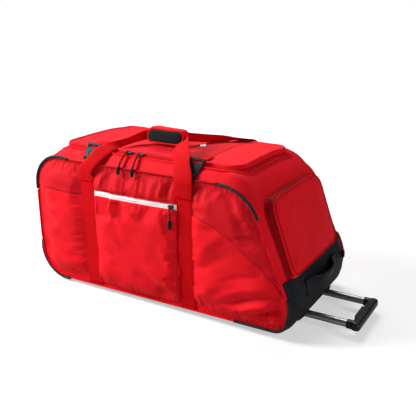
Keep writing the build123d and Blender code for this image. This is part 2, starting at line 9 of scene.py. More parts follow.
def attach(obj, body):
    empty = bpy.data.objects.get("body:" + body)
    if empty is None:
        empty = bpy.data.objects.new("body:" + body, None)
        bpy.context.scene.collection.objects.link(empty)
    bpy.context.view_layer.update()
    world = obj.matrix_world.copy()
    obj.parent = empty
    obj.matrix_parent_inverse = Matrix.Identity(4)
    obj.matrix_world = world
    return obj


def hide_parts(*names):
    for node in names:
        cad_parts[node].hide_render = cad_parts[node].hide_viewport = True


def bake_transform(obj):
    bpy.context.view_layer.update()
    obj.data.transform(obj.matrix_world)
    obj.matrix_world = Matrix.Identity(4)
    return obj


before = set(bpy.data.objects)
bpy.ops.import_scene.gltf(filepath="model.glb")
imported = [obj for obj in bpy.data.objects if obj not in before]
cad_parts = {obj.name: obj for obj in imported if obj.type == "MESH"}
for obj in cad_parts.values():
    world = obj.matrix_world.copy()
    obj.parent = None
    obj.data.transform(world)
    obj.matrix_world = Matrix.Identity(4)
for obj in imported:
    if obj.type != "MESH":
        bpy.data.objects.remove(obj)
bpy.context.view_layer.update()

# Every length below is in millimetres unless its name says otherwise; meshes are made in metres.
MM = 0.001

# ------------------------------------------------------------------ driving sizes
HALF_WIDTH = 190.5          # the front and rear panels stand at plus and minus this Y
WEB_WIDTH = 50.0
WEB_THICK = 2.0
BAG_THICK, LID_THICK = 3.5, 3.0
PIPING_R = 3.9              # the black stretches
RED_PIPING_R = 2.4
LID_X = (-375.0, 173.0)
LID_FRONT_Y = -149.0
LID_REAR_Y = 158.0
RIM_Z = 404.0
MOUTH_X, MOUTH_Y, MOUTH_Z = (-350.0, 148.0), (-136.0, 140.0), 380.0
STRAP_TOP_Z = 346.0
STRAP_LOW_Z = 20.0
POCKET_X = (-246.0, 17.0)
POCKET_LOW_Z = 30.0
ZIP_Z, ZIP_RISE = 296.0, 3.2          # the white zipper's height at its left end, and its rise to the right
PANEL_SEAM_Z = 284.0                  # the sewn seam across the left part of the front, and across the rear
WHEEL_X, WHEEL_Z, WELL_R = -434.0, 36.0, 43.0
WELL_Y = (112.0, 156.0)
BEZEL_BOX = (290.0, 94.0, 48.0)       # from this X on, within this |Y|, below this Z
BLACK_TOP = 148.0                     # where the black end base meets the red end
SIDE_SIGN = {"front": -1.0, "rear": 1.0}
WEAVE_PITCH, DOBBY_PITCH = 1.1, 4.2
NO_SEAM = -40.0             # the third cloth value where there is plain cloth and no panel seam
TURN = 2 * math.pi


# ------------------------------------------------------------------ number helpers
def smooth(x, low, high):
    """0 below low, 1 above high, with a soft step between."""
    t = np.clip((np.asarray(x, float) - low) / (high - low), 0.0, 1.0)
    return t * t * (3 - 2 * t)


def bell(x, middle, width):
    """1 at the middle, falling off like a bell over the width."""
    return np.exp(-((np.asarray(x, float) - middle) / width) ** 2)


def value_noise(x, y, size, seed):
    """Smooth noise from -1 to 1 with features of that size, the same every run."""
    table = np.random.default_rng(seed).uniform(-1, 1, (64, 64))
    gx, gy = np.asarray(x, float) / size, np.asarray(y, float) / size
    ix, iy = np.floor(gx).astype(int), np.floor(gy).astype(int)
    fx, fy = gx - ix, gy - iy
    fx, fy = fx * fx * (3 - 2 * fx), fy * fy * (3 - 2 * fy)
    a, b = table[ix % 64, iy % 64], table[(ix + 1) % 64, iy % 64]
    c, d = table[ix % 64, (iy + 1) % 64], table[(ix + 1) % 64, (iy + 1) % 64]
    return (a * (1 - fx) + b * fx) * (1 - fy) + (c * (1 - fx) + d * fx) * fy


def ridge(x, y, start, end, width, height):
    """A fold: a soft ridge, or a valley if height is negative, along a line, tapered at both ends."""
    (x0, y0), (x1, y1) = start, end
    length = math.hypot(x1 - x0, y1 - y0)
    ux, uy = (x1 - x0) / length, (y1 - y0) / length
    along = ((x - x0) * ux + (y - y0) * uy) / length
    aside = -(x - x0) * uy + (y - y0) * ux
    bow = 0.06 * length * np.sin(np.pi * np.clip(along, 0, 1))
    taper = smooth(along, -0.02, 0.35) * (1 - smooth(along, 0.65, 1.02))
    return height * taper * np.exp(-((aside - bow) / width) ** 2)


def unit(vectors):
    """The same vectors at a length of 1."""
    return vectors / np.linalg.norm(vectors, axis=-1, keepdims=True)


def stacked(*values):
    """Grids of values side by side: one row of numbers per point."""
    return np.stack(np.broadcast_arrays(*values), axis=-1).reshape(-1, len(values))


def corner_path(corners, step):
    """A closed line through rounded corners given as (x, z, radius), with a point about every step."""
    points = []
    count = len(corners)
    for i, (x, z, radius) in enumerate(corners):
        here = np.array((x, z), float)
        before = np.array(corners[i - 1][:2], float) - here
        after = np.array(corners[(i + 1) % count][:2], float) - here
        before, after = before / np.linalg.norm(before), after / np.linalg.norm(after)
        half = 0.5 * math.acos(np.clip(before @ after, -1, 1))
        centre = here + (before + after) / np.linalg.norm(before + after) * radius / math.sin(half)
        first = here + before * radius / math.tan(half)
        last = here + after * radius / math.tan(half)
        a0 = math.atan2(*(first - centre)[::-1])
        a1 = math.atan2(*(last - centre)[::-1])
        turn = (a1 - a0 + math.pi) % (TURN) - math.pi
        pieces = max(3, int(abs(turn) * radius / step))
        for k in range(pieces + 1):
            angle = a0 + turn * k / pieces
            points.append(centre + radius * np.array((math.cos(angle), math.sin(angle))))
    return resample(np.array(points), step, closed=True)


def resample(points, step, closed=False):
    """The same line with evenly spaced points."""
    line = np.vstack([points, points[:1]]) if closed else np.asarray(points, float)
    lengths = run_length(line)
    count = max(2, int(round(lengths[-1] / step)))
    at = np.linspace(0, lengths[-1], count + 1)
    if closed:
        at = at[:-1]
    return np.stack([np.interp(at, lengths, line[:, i]) for i in range(line.shape[1])], axis=1)


def run_length(path):
    """Length along a line of points up to each of them."""
    return np.r_[0, np.cumsum(np.linalg.norm(np.diff(path, axis=0), axis=1))]


def spline(points, count):
    """A smooth curve through points, as a Catmull-Rom line sampled count times."""
    p = np.asarray(points, float)
    p = np.vstack([2 * p[0] - p[1], p, 2 * p[-1] - p[-2]])
    spans = len(p) - 3
    out = []
    for t in np.linspace(0, spans - 1e-9, count):
        i = int(t)
        f = t - i
        a, b, c, d = p[i], p[i + 1], p[i + 2], p[i + 3]
        out.append(0.5 * (2 * b + (c - a) * f + (2 * a - 5 * b + 4 * c - d) * f ** 2
                          + (3 * b - a - 3 * c + d) * f ** 3))
    return np.array(out)


# ------------------------------------------------------------------ mesh helpers
TOP_SAG = 10.0


def sagged(points):
    """The soft top of the bag and all that lies on it sinks a little towards the rear."""
    points = np.array(points, float)
    points[:, 2] -= TOP_SAG * smooth(points[:, 1], 15, 160) * smooth(points[:, 2], 320, 402)
    return points


def make_mesh(name, points, faces, cloth=None, material=None):
    """A smooth mesh object. cloth holds two or three fabric coordinates per point, in millimetres."""
    mesh = bpy.data.meshes.new(name)
    mesh.from_pydata((sagged(points) * MM).tolist(), [], [tuple(int(i) for i in f) for f in faces])
    if cloth is not None:
        layer = mesh.attributes.new("cloth", "FLOAT_VECTOR", "POINT")
        packed = np.zeros((len(points), 3))
        packed[:, :cloth.shape[1]] = cloth
        layer.data.foreach_set("vector", packed.ravel().astype(np.float32))
    mesh.polygons.foreach_set("use_smooth", [True] * len(mesh.polygons))
    mesh.update()
    obj = bpy.data.objects.new(name, mesh)
    bpy.context.scene.collection.objects.link(obj)
    if material is not None:
        mesh.materials.append(material)
    return obj


def grid_faces(rows, cols, wrap_rows=False, wrap_cols=False):
    """The quads of a grid of rows by cols points, numbered row by row."""
    faces = []
    for i in range(rows if wrap_rows else rows - 1):
        for j in range(cols if wrap_cols else cols - 1):
            i2, j2 = (i + 1) % rows, (j + 1) % cols
            faces.append((i * cols + j, i2 * cols + j, i2 * cols + j2, i * cols + j2))
    return faces


def shifted(faces, first, flip=False):
    """The same faces for points numbered from first on, wound the other way if flip."""
    return [tuple(first + i for i in (face[::-1] if flip else face)) for face in faces]


def end_caps(rows, cols, flip=False):
    """The two faces that close the ends of a tube of rows by cols points."""
    first, last = tuple(range(cols)), tuple((rows - 1) * cols + k for k in range(cols))
    return [first[::-1], last] if flip else [first, last[::-1]]


def modify(obj, kind, **settings):
    """Adds a modifier and applies it at once."""
    modifier = obj.modifiers.new(kind, kind)
    for key, value in settings.items():
        setattr(modifier, key, value)
    bpy.context.view_layer.objects.active = obj
    with bpy.context.temp_override(object=obj, active_object=obj, selected_objects=[obj]):
        bpy.ops.object.modifier_apply(modifier=modifier.name)
    return obj


def face_up(obj, direction):
    """Makes all faces wind the same way, so that on the whole they face that direction."""
    mesh = obj.data
    work = bmesh.new()
    work.from_mesh(mesh)
    bmesh.ops.recalc_face_normals(work, faces=work.faces)
    work.to_mesh(mesh)
    work.free()
    total = sum((polygon.normal * polygon.area for polygon in mesh.polygons), Vector())
    if total.dot(Vector(direction)) < 0:
        mesh.flip_normals()


def relax(obj, held, growth, pressure, cap, frames=18):
    """Cloth cut larger than its frame, held at some points and pushed out: it swells and wrinkles."""
    mesh = obj.data
    before = np.empty(len(mesh.vertices) * 3)
    mesh.vertices.foreach_get("co", before)
    group = obj.vertex_groups.new(name="held")
    group.add([int(i) for i in np.flatnonzero(held)], 1.0, "REPLACE")
    modifier = obj.modifiers.new("cloth", "CLOTH")
    cloth = modifier.settings
    values = dict(quality=5, mass=0.2, tension_stiffness=15, compression_stiffness=15, shear_stiffness=6,
                  bending_stiffness=0.3, vertex_group_mass="held", shrink_min=-growth,
                  use_pressure=True, uniform_pressure_force=pressure)
    for key, value in values.items():
        setattr(cloth, key, value)
    cloth.effector_weights.gravity = 0.0
    modifier.collision_settings.use_collision = False
    modifier.point_cache.frame_start = 1
    modifier.point_cache.frame_end = frames
    scene = bpy.context.scene
    for frame_number in range(1, frames + 1):
        scene.frame_set(frame_number)
    moved = obj.evaluated_get(bpy.context.evaluated_depsgraph_get()).to_mesh()
    after = np.empty_like(before)
    moved.vertices.foreach_get("co", after)
    obj.modifiers.remove(modifier)
    obj.vertex_groups.remove(group)
    scene.frame_set(1)
    step = (after - before).reshape(-1, 3)
    size = np.linalg.norm(step, axis=1)[:, None]
    step *= np.minimum(1.0, cap * MM / np.maximum(size, 1e-9))
    mesh.vertices.foreach_set("co", before + step.ravel())
    mesh.update()
    return step / MM


def line_frames(path, up):
    """Unit directions along a line and across it, square to the line and close to up."""
    along = unit(np.gradient(path, axis=0))
    up = np.broadcast_to(np.asarray(up, float), along.shape)
    out = unit(up - (up * along).sum(1)[:, None] * along)
    return along, out, np.cross(along, out)


def tube(name, path, radius, material, sides=12, closed=False, up=(0, 1, 0)):
    """A round tube along a line of points."""
    path = np.asarray(path, float)
    if closed:
        wrapped = np.vstack([path[-1:], path, path[:1]])
        along, out, side = (a[1:-1] for a in line_frames(wrapped, up))
    else:
        along, out, side = line_frames(path, up)
    angles = np.linspace(0, TURN, sides, endpoint=False)
    radius = np.broadcast_to(radius, (len(path),))
    points = path[:, None] + radius[:, None, None] * (np.cos(angles)[None, :, None] * out[:, None]
                                                      + np.sin(angles)[None, :, None] * side[:, None])
    faces = grid_faces(len(path), sides, wrap_rows=closed, wrap_cols=True)
    if not closed:
        faces += end_caps(len(path), sides, flip=True)
    cloth = stacked(run_length(path)[:, None], angles[None] * float(np.mean(radius)))
    return make_mesh(name, points.reshape(-1, 3), faces, cloth, material)


RIBBON_CORNER = [(0.5, 0.25), (0.47, 0.5), (0.25, 0.5), (0.0, 0.5), (-0.25, 0.5), (-0.47, 0.5), (-0.5, 0.25)]


def ribbon(name, centres, across, out, width, thick, material):
    """Flat webbing along centres, with its width and facing directions given once or at each centre."""
    centres = np.asarray(centres, float)
    across, out = (np.broadcast_to(np.asarray(v, float), centres.shape) for v in (across, out))
    n = len(centres)
    width = np.broadcast_to(width, (n,))
    profile = np.vstack([-np.array(RIBBON_CORNER), RIBBON_CORNER])
    points = (centres[:, None] + profile[None, :, 0:1] * width[:, None, None] * across[:, None]
              + profile[None, :, 1:2] * thick * out[:, None]).reshape(-1, 3)
    faces = grid_faces(n, len(profile), wrap_cols=True) + end_caps(n, len(profile))
    cloth = stacked(run_length(centres)[:, None], profile[None, :, 0] * width[:, None],
                    np.sign(profile[None, :, 1]))
    return make_mesh(name, points, faces, cloth, material)


def place(obj, body, replaced=()):
    """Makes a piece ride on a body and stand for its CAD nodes."""
    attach(obj, body)
    if replaced:
        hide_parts(*replaced)
    return obj


# ------------------------------------------------------------------ materials
class Shader:
    """A small writer of node trees for one material."""

    def __init__(self, name):
        self.material = bpy.data.materials.new(name)
        self.material.use_nodes = True
        self.tree = self.material.node_tree
        self.surface = self.tree.nodes["Principled BSDF"]

    def node(self, kind, inputs=(), **settings):
        node = self.tree.nodes.new(kind)
        for key, value in settings.items():
            setattr(node, key, value)
        for key, value in dict(inputs).items():
            self.feed(node.inputs[key], value)
        return node

    def feed(self, socket, value):
        if isinstance(value, bpy.types.NodeSocket):
            self.tree.links.new(value, socket)
        else:
            socket.default_value = value

    def math(self, operation, a, b=0.0, c=0.0):
        return self.node("ShaderNodeMath", {0: a, 1: b, 2: c}, operation=operation).outputs[0]

    def plus(self, a, b):
        return self.math("ADD", a, b)

    def minus(self, a, b):
        return self.math("SUBTRACT", a, b)

    def times(self, a, b):
        return self.math("MULTIPLY", a, b)

    def wave(self, value, pitch, kind="SINE"):
        """A wave of that pitch along a value."""
        return self.math(kind, self.times(value, TURN / pitch))

    def position(self):
        return self.node("ShaderNodeTexCoord").outputs["Object"]

    def cloth(self):
        """The fabric coordinates u, v and w of the mesh, in millimetres."""
        vector = self.node("ShaderNodeAttribute", attribute_name="cloth").outputs["Vector"]
        return self.node("ShaderNodeSeparateXYZ", {0: vector}).outputs

    def noise(self, vector, scale, detail=3.0, rough=0.5):
        inputs = {"Vector": vector, "Scale": scale, "Detail": detail, "Roughness": rough}
        return self.node("ShaderNodeTexNoise", inputs).outputs["Fac"]

    def span(self, value, low, high, to_low=0.0, to_high=1.0):
        inputs = {"Value": value, "From Min": low, "From Max": high, "To Min": to_low, "To Max": to_high}
        return self.node("ShaderNodeMapRange", inputs).outputs[0]

    def mix(self, share, a, b):
        node = self.tree.nodes.new("ShaderNodeMix")
        node.data_type = "RGBA"
        self.feed(node.inputs[0], share)
        for socket, color in ((node.inputs[6], a), (node.inputs[7], b)):
            self.feed(socket, color if isinstance(color, bpy.types.NodeSocket) else (*color, 1.0))
        return node.outputs[2]

    def bump(self, height, distance, strength=1.0, normal=None):
        inputs = {"Height": height, "Distance": distance, "Strength": strength}
        if normal is not None:
            inputs["Normal"] = normal
        return self.node("ShaderNodeBump", inputs).outputs["Normal"]

    def cloth_tones(self):
        """Broad and fine noise for a fabric's colour and wear."""
        return self.noise(self.position(), 7.0, 4.0), self.noise(self.position(), 420.0, 2.0)

    def finish(self, color, roughness, normal=None, **fixed):
        self.feed(self.surface.inputs["Base Color"], color)
        self.feed(self.surface.inputs["Roughness"], roughness)
        if normal is not None:
            self.feed(self.surface.inputs["Normal"], normal)
        for key, value in fixed.items():
            self.surface.inputs[key.replace("_", " ")].default_value = value
        return self.material


def shaded(color, share):
    """A darker tone of a colour."""
    return tuple(c * share for c in color)


def threads(s, u, v, pitch):
    """A plain weave of that pitch: a height that goes over and under."""
    return s.math("MULTIPLY_ADD", s.times(s.wave(u, pitch), s.wave(v, pitch)), 0.5, 0.5)


def dotted(s, u, v, pitch):
    """A grid of small sunken dots, one at every pitch, offset in alternate rows."""
    wave_u, wave_v = s.wave(s.plus(u, v), pitch, "COSINE"), s.wave(s.minus(u, v), pitch, "COSINE")
    return s.span(s.times(s.plus(wave_u, 1.0), s.plus(wave_v, 1.0)), 1.2, 3.2)


def fabric(name, light, dark, pitch=WEAVE_PITCH, rough=0.68, sheen=0.08, sheen_tint=(1, 0.1, 0.13)):
    """Plain woven polyester or nylon."""
    s = Shader(name)
    u, v, _ = s.cloth()
    tone, fine = s.cloth_tones()
    color = s.mix(s.span(tone, 0.3, 0.7), dark, light)
    weave = threads(s, u, v, pitch)
    color = s.mix(s.span(fine, 0.35, 0.65, 0.0, 0.18), color, shaded(dark, 0.72))
    color = s.mix(s.span(weave, 0.0, 0.5, 0.22, 0.0), color, shaded(dark, 0.6))
    normal = s.bump(tone, 0.004, 0.12, s.bump(weave, 0.00022, 0.55))
    roughness = s.span(fine, 0.2, 0.8, rough - 0.06, rough + 0.08)
    return s.finish(color, roughness, normal, Sheen_Weight=sheen, Sheen_Roughness=0.4,
                    Sheen_Tint=(*sheen_tint, 1.0), Specular_IOR_Level=0.09)


def webbing(name, light, dark, rib=2.4):
    """Ribbed webbing: rows of slanted stitches along its length."""
    s = Shader(name)
    u, v, _ = s.cloth()
    slanted = s.plus(u, s.times(s.math("PINGPONG", v, rib * 2), 1.1))
    height = s.plus(s.times(s.wave(slanted, rib), 0.35), s.times(s.wave(v, rib * 2, "COSINE"), 0.25))
    wear = s.noise(s.position(), 30.0, 4.0)
    color = s.mix(s.span(height, -0.6, 0.6), dark, light)
    color = s.mix(s.span(wear, 0.35, 0.75, 0.0, 0.25), color, shaded(light, 0.8))
    normal = s.bump(height, 0.0004, 0.6)
    return s.finish(color, s.span(wear, 0.2, 0.8, 0.56, 0.72), normal, Sheen_Weight=0.05, Sheen_Roughness=0.4,
                    Sheen_Tint=(1.0, 0.05, 0.07, 1.0), Specular_IOR_Level=0.04)


def cord_wrap(name, light, dark, pitch=1.6, rough=0.55, shine=0.05):
    """A covering wound round a cord, as on piping or a drawcord."""
    s = Shader(name)
    u, v, _ = s.cloth()
    wave = s.wave(s.plus(u, s.times(v, 0.7)), pitch)
    tone = s.noise(s.position(), 26.0, 3.0)
    color = s.mix(s.span(tone, 0.3, 0.7), dark, light)
    color = s.mix(s.span(wave, -1.0, 0.2, 0.35, 0.0), color, shaded(dark, 0.5))
    normal = s.bump(wave, 0.00025, 0.5)
    return s.finish(color, s.span(tone, 0.2, 0.8, rough - 0.05, rough + 0.08), normal,
                    Specular_IOR_Level=shine)


def plastic(name, light, dark, grain=900.0, rough=0.42, bump=0.00005, shine=0.3):
    """Moulded plastic with a fine grain and slight wear on its roughness."""
    s = Shader(name)
    tone = s.noise(s.position(), 16.0, 4.0)
    fine = s.noise(s.position(), grain, 3.0, 0.65)
    scuff = s.noise(s.position(), 70.0, 6.0, 0.7)
    color = s.mix(s.span(tone, 0.3, 0.7), dark, light)
    worn = tuple(min(1.0, c * 1.7 + 0.01) for c in light)
    color = s.mix(s.span(scuff, 0.56, 0.72, 0.0, 0.3), color, worn)
    normal = s.bump(fine, bump, 0.6)
    grained = s.span(fine, 0.3, 0.7, rough - 0.05, rough + 0.07)
    roughness = s.plus(grained, s.span(scuff, 0.5, 0.75, 0.0, 0.12))
    return s.finish(color, roughness, normal, Specular_IOR_Level=shine)


def metal(name, light, dark, rough=0.28, along=(0.04, 1.0, 1.0), painted=False):
    """Brushed metal: the brush marks run along the axis whose share is small."""
    s = Shader(name)
    stretched = s.node("ShaderNodeVectorMath", {0: s.position(), 1: along}, operation="MULTIPLY").outputs[0]
    brush = s.noise(stretched, 900.0, 4.0, 0.6)
    tone = s.noise(s.position(), 22.0, 3.0)
    color = s.mix(s.span(brush, 0.3, 0.7), dark, light)
    color = s.mix(s.span(tone, 0.35, 0.75, 0.0, 0.2), color, shaded(dark, 0.8))
    normal = s.bump(brush, 0.00003, 0.5)
    return s.finish(color, s.span(brush, 0.25, 0.75, rough - 0.06, rough + 0.1), normal,
                    Metallic=0.0 if painted else 1.0)


def white_zip(name):
    """A white coil zipper tape."""
    s = Shader(name)
    u, v, _ = s.cloth()
    weave = threads(s, u, v, 1.0)
    grime = s.noise(s.position(), 40.0, 4.0)
    color = s.mix(s.span(grime, 0.35, 0.75), (0.94, 0.95, 0.95), (0.86, 0.87, 0.88))
    color = s.mix(s.span(weave, 0.0, 0.5, 0.2, 0.0), color, (0.66, 0.66, 0.68))
    return s.finish(color, 0.6, s.bump(weave, 0.0002, 0.6), Specular_IOR_Level=0.4)


RED = (0.80, 0.005, 0.014)
RED_DARK = (0.69, 0.003, 0.009)
paint = {
    "red": fabric("red_polyester", RED, RED_DARK),
    "red_web": webbing("red_webbing", (0.64, 0.002, 0.006), (0.44, 0.001, 0.003)),
    "red_cord": cord_wrap("red_piping", (0.82, 0.004, 0.012), (0.66, 0.003, 0.009)),
    # Sewn edges: a darker red that paints the shade of a seam groove, on the front's top piping and the end
    # pocket's rim, rolls and coil.
    "red_seam_shade": cord_wrap("red_sewn_edge_painted_shade", (0.50, 0.002, 0.006), (0.36, 0.001, 0.004)),
    # The end pocket's zipper tape is painted shade: its dark red darkens the pocket's wall.
    "red_shade_tape": cord_wrap("red_zipper_tape_painted_shade", (0.34, 0.001, 0.004), (0.22, 0.001, 0.003), pitch=3.6),
    "black_cord": cord_wrap("black_piping", (0.015, 0.016, 0.018), (0.008, 0.009, 0.010), shine=0.2),
    "black_fabric": fabric("black_nylon", (0.014, 0.016, 0.018), (0.007, 0.008, 0.010), pitch=1.6, rough=0.55,
                           sheen=0.03, sheen_tint=(0.7, 0.75, 0.8)),
    "lining": fabric("grey_lining", (0.14, 0.145, 0.15), (0.10, 0.104, 0.11), pitch=0.9, sheen=0.1,
                     sheen_tint=(0.8, 0.8, 0.8)),
    "plastic": plastic("black_plastic", (0.013, 0.014, 0.016), (0.008, 0.009, 0.010)),
    "gloss": plastic("buckle_plastic", (0.010, 0.011, 0.013), (0.006, 0.007, 0.008), rough=0.42, shine=0.1),
    "grip": plastic("grip_plastic", (0.012, 0.013, 0.015), (0.007, 0.008, 0.009), rough=0.36),
    "button": plastic("grip_button_plastic", (0.07, 0.07, 0.075), (0.05, 0.05, 0.055), rough=0.45),
    "inner": plastic("grey_nylon", (0.20, 0.20, 0.21), (0.15, 0.15, 0.16), rough=0.5),
    "board": plastic("board_plastic", (0.10, 0.10, 0.105), (0.07, 0.07, 0.075), grain=300, rough=0.5),
    "rubber": plastic("wheel_rubber", (0.018, 0.018, 0.019), (0.010, 0.010, 0.011), grain=500, rough=0.6),
    "hub": plastic("hub_plastic", (0.05, 0.05, 0.055), (0.035, 0.035, 0.04), rough=0.4),
    "tube": metal("brushed_aluminium", (0.46, 0.47, 0.49), (0.30, 0.31, 0.33), rough=0.36),
    "steel": metal("plated_steel", (0.55, 0.55, 0.56), (0.42, 0.42, 0.43), rough=0.3),
    "slider": metal("black_slider", (0.016, 0.017, 0.019), (0.008, 0.009, 0.010), rough=0.5, painted=True),
    "white_zip": white_zip("white_zipper"),
    "tip": plastic("pull_rubber", (0.010, 0.011, 0.012), (0.006, 0.007, 0.008), rough=0.45, shine=0.1),
    "foam": plastic("foam_strip", (0.13, 0.13, 0.13), (0.10, 0.10, 0.10), grain=250, rough=0.8),
}


# ------------------------------------------------------------------ bag outline
# The seam line of the front panel: corners as X, Z and radius, anticlockwise from the wheels.
SEAM_CORNERS = [(-461, 14, 83), (323, 24, 35), (331, 100, 60), (208, 377, 120), (-330, 373, 260),
                (-463, 390, 88)]
SEAM = corner_path(SEAM_CORNERS, 4.0)
SEAM_COUNT = len(SEAM)
GUARD_MIDDLE = np.array((-378.0, 96.0))     # the moulded guard's arc, seen from the side
GUARD_DRAW_IN = 4.6
by_guard = smooth(-SEAM[:, 0], 352, 374) * smooth(-SEAM[:, 1], -136, -112)
SEAM = SEAM - unit(SEAM - GUARD_MIDDLE) * (GUARD_DRAW_IN * by_guard)[:, None]
seam_along = unit(np.roll(SEAM, -1, 0) - np.roll(SEAM, 1, 0))
SEAM_OUT = np.stack([seam_along[:, 1], -seam_along[:, 0]], axis=1)
if ((SEAM - SEAM.mean(0)) * SEAM_OUT).sum() < 0:
    SEAM_OUT = -SEAM_OUT


def nearest(x, z):
    """The number of the seam point nearest to a place."""
    return int(np.argmin(((SEAM - (x, z)) ** 2).sum(1)))


def seam_run(start, end):
    """Numbers of the seam points from one place on to another, in seam order."""
    first, last = nearest(*start), nearest(*end)
    if last < first:
        last += SEAM_COUNT
    return [k % SEAM_COUNT for k in range(first, last + 1)]


def panel_swell(x, z):
    """The even swell of the front or rear panel, held back by its two straps."""
    inside = edge_distance(x, z)
    held = bell(x, strap_middle(0, z), 40) + bell(x, strap_middle(1, z), 40)
    return smooth(inside, 0, 70) * 9.0 * (1 - 0.6 * np.clip(held, 0, 1))


def panel_bulge(x, z, side=-1.0):
    """How far the front (-1) or rear (1) panel stands out of its plane, soft folds and all."""
    x, z = np.broadcast_arrays(np.asarray(x, float), np.asarray(z, float))
    inside = edge_distance(x, z)
    cloth_x = x if side < 0 else -x - 140.0
    rough_cloth = (value_noise(cloth_x + 0.5 * z, z - 0.3 * cloth_x, 62, 3) * 2.0
                   + value_noise(cloth_x - 0.4 * z, z, 27, 4) * 0.7)
    folds = np.zeros_like(inside)
    for start, end, width, height in PANEL_FOLDS:
        folds += FOLD_GAIN * ridge(cloth_x, z, start, end, width, height)
    edge = smooth(inside, 2, 22)
    pucker = np.sin(x * 0.42 + value_noise(x, z, 40, 8) * 3) * bell(inside, 9, 7) * 0.6
    bulge = panel_swell(x, z) + edge * (rough_cloth + folds + wrinkle_field(cloth_x, z)) + pucker
    if side > 0:
        return bulge
    parked_x = smooth(x, -248, -236) * (1 - smooth(x, -200, -188))
    parked = parked_x * smooth(z, 224, 236) * (1 - smooth(z, 306, 312))
    return bulge - parked * np.clip(bulge - PARKED_BULGE, 0, None)


PARKED_BULGE = 6.1          # how far the panel may stand out where the pocket slider parks
WRINKLE_STEP = 6.0
WRINKLE_X = np.arange(-474.0, 340.0, WRINKLE_STEP)
WRINKLE_Z = np.arange(8.0, 392.0, WRINKLE_STEP)


def wrinkle_field(x, z):
    """The simulated wrinkles' height at a place, between the nearest four points of their grid."""
    across = np.clip((x - WRINKLE_X[0]) / WRINKLE_STEP, 0, len(WRINKLE_X) - 1.001)
    up = np.clip((z - WRINKLE_Z[0]) / WRINKLE_STEP, 0, len(WRINKLE_Z) - 1.001)
    i, j = across.astype(int), up.astype(int)
    a, b = across - i, up - j
    field = WRINKLES
    return ((1 - a) * (1 - b) * field[i, j] + a * (1 - b) * field[i + 1, j]
            + (1 - a) * b * field[i, j + 1] + a * b * field[i + 1, j + 1])


def in_outline(x, z):
    """True where a place lies inside the seam line."""
    crossings = np.zeros(x.shape, int)
    for (x0, z0), (x1, z1) in zip(SEAM, np.roll(SEAM, -1, 0)):
        spans = (z0 <= z) != (z1 <= z)
        at = x0 + (x1 - x0) * (z - z0) / ((z1 - z0) or 1e-9)
        crossings += spans & (x < at)
    return crossings % 2 == 1


def simulated_wrinkles():
    """Heights of the wrinkles that the panel's cloth takes between its seams, straps and zipper."""
    x, z = np.meshgrid(WRINKLE_X, WRINKLE_Z, indexing="ij")
    held = ~in_outline(x, z) | (edge_distance(x, z) < 7)
    for which in (0, 1):
        held |= np.abs(x - strap_middle(which, z)) < 24
    held |= (np.abs(z - ZIP_Z) < 8) & (x > -250) & (x < 20)
    points = stacked(x, -HALF_WIDTH - panel_swell(x, z), z)
    faces = shifted(grid_faces(len(WRINKLE_X), len(WRINKLE_Z)), 0, flip=True)
    sheet = make_mesh("wrinkle_sheet", points, faces)
    face_up(sheet, (0, -1, 0))
    step = relax(sheet, held.ravel(), growth=0.05, pressure=0.8, cap=10.0)
    bpy.data.objects.remove(sheet)
    return np.where(held, 0.0, -step[:, 1].reshape(x.shape))


FOLD_GAIN = 1.45
PANEL_FOLDS = [
    # bottom right corner
    ((170, 44), (318, 96), 8, 6.0), ((160, 60), (312, 118), 7, -4.2), ((205, 32), (322, 66), 6, 5.0),
    ((214, 30), (320, 84), 5, -3.6), ((130, 78), (304, 142), 12, 4.4), ((120, 50), (250, 96), 9, -3.4),
    ((238, 28), (322, 50), 5, 2.6), ((120, 112), (290, 168), 9, -2.6),
    # right panel, below the curved seam
    ((80, 70), (200, 150), 18, 3.6), ((76, 128), (190, 214), 15, -3.2), ((84, 190), (170, 258), 14, 2.4),
    ((74, 250), (150, 262), 9, -2.0),
    # right panel, above the curved seam
    ((180, 340), (240, 250), 10, 2.4), ((150, 352), (210, 270), 10, -2.4), ((96, 358), (120, 300), 12, 2.0),
    # between the straps, above the zipper
    ((-226, 308), (-208, 366), 8, 3.0), ((-198, 306), (-190, 366), 8, -2.4),
    ((-164, 306), (-170, 368), 8, 2.8),
    ((-136, 306), (-128, 366), 9, -2.2), ((-100, 308), (-104, 366), 9, 2.2), ((-62, 308), (-44, 368), 9, 2.6),
    ((-12, 308), (2, 366), 8, -3.6), ((-34, 308), (-18, 362), 6, 2.8),
    # between the straps, below the zipper
    ((-236, 284), (-150, 238), 9, 4.2), ((-196, 286), (-120, 238), 8, -3.4),
    ((-164, 286), (-96, 244), 8, 3.6),
    ((-120, 284), (-60, 250), 8, -2.6), ((-234, 258), (-150, 200), 10, -3.0), ((-60, 284), (-6, 236), 9, 3.0),
    ((-236, 214), (-150, 150), 13, 3.0), ((-90, 130), (6, 64), 12, 3.6), ((-120, 96), (-10, 44), 10, -3.4),
    ((-40, 190), (10, 120), 10, 3.0), ((-20, 92), (14, 56), 7, 3.2), ((-230, 110), (-130, 64), 12, -2.4),
    # left panel
    ((-440, 236), (-320, 196), 16, 3.0), ((-430, 150), (-310, 112), 16, -2.6),
    ((-446, 322), (-320, 304), 10, 2.2),
    ((-384, 84), (-300, 40), 11, 3.2), ((-436, 290), (-330, 262), 9, -2.2), ((-350, 60), (-300, 34), 7, -2.6),
]


def strap_middle(which, z):
    """X of the middle of the left (0) or right (1) strap at that height."""
    low, high = ((-264.0, -273.0), (45.5, 37.0))[which]
    share = (np.asarray(z, float) - STRAP_LOW_Z) / (STRAP_TOP_Z - STRAP_LOW_Z)
    return low + (high - low) * np.clip(share, 0, 1.2)


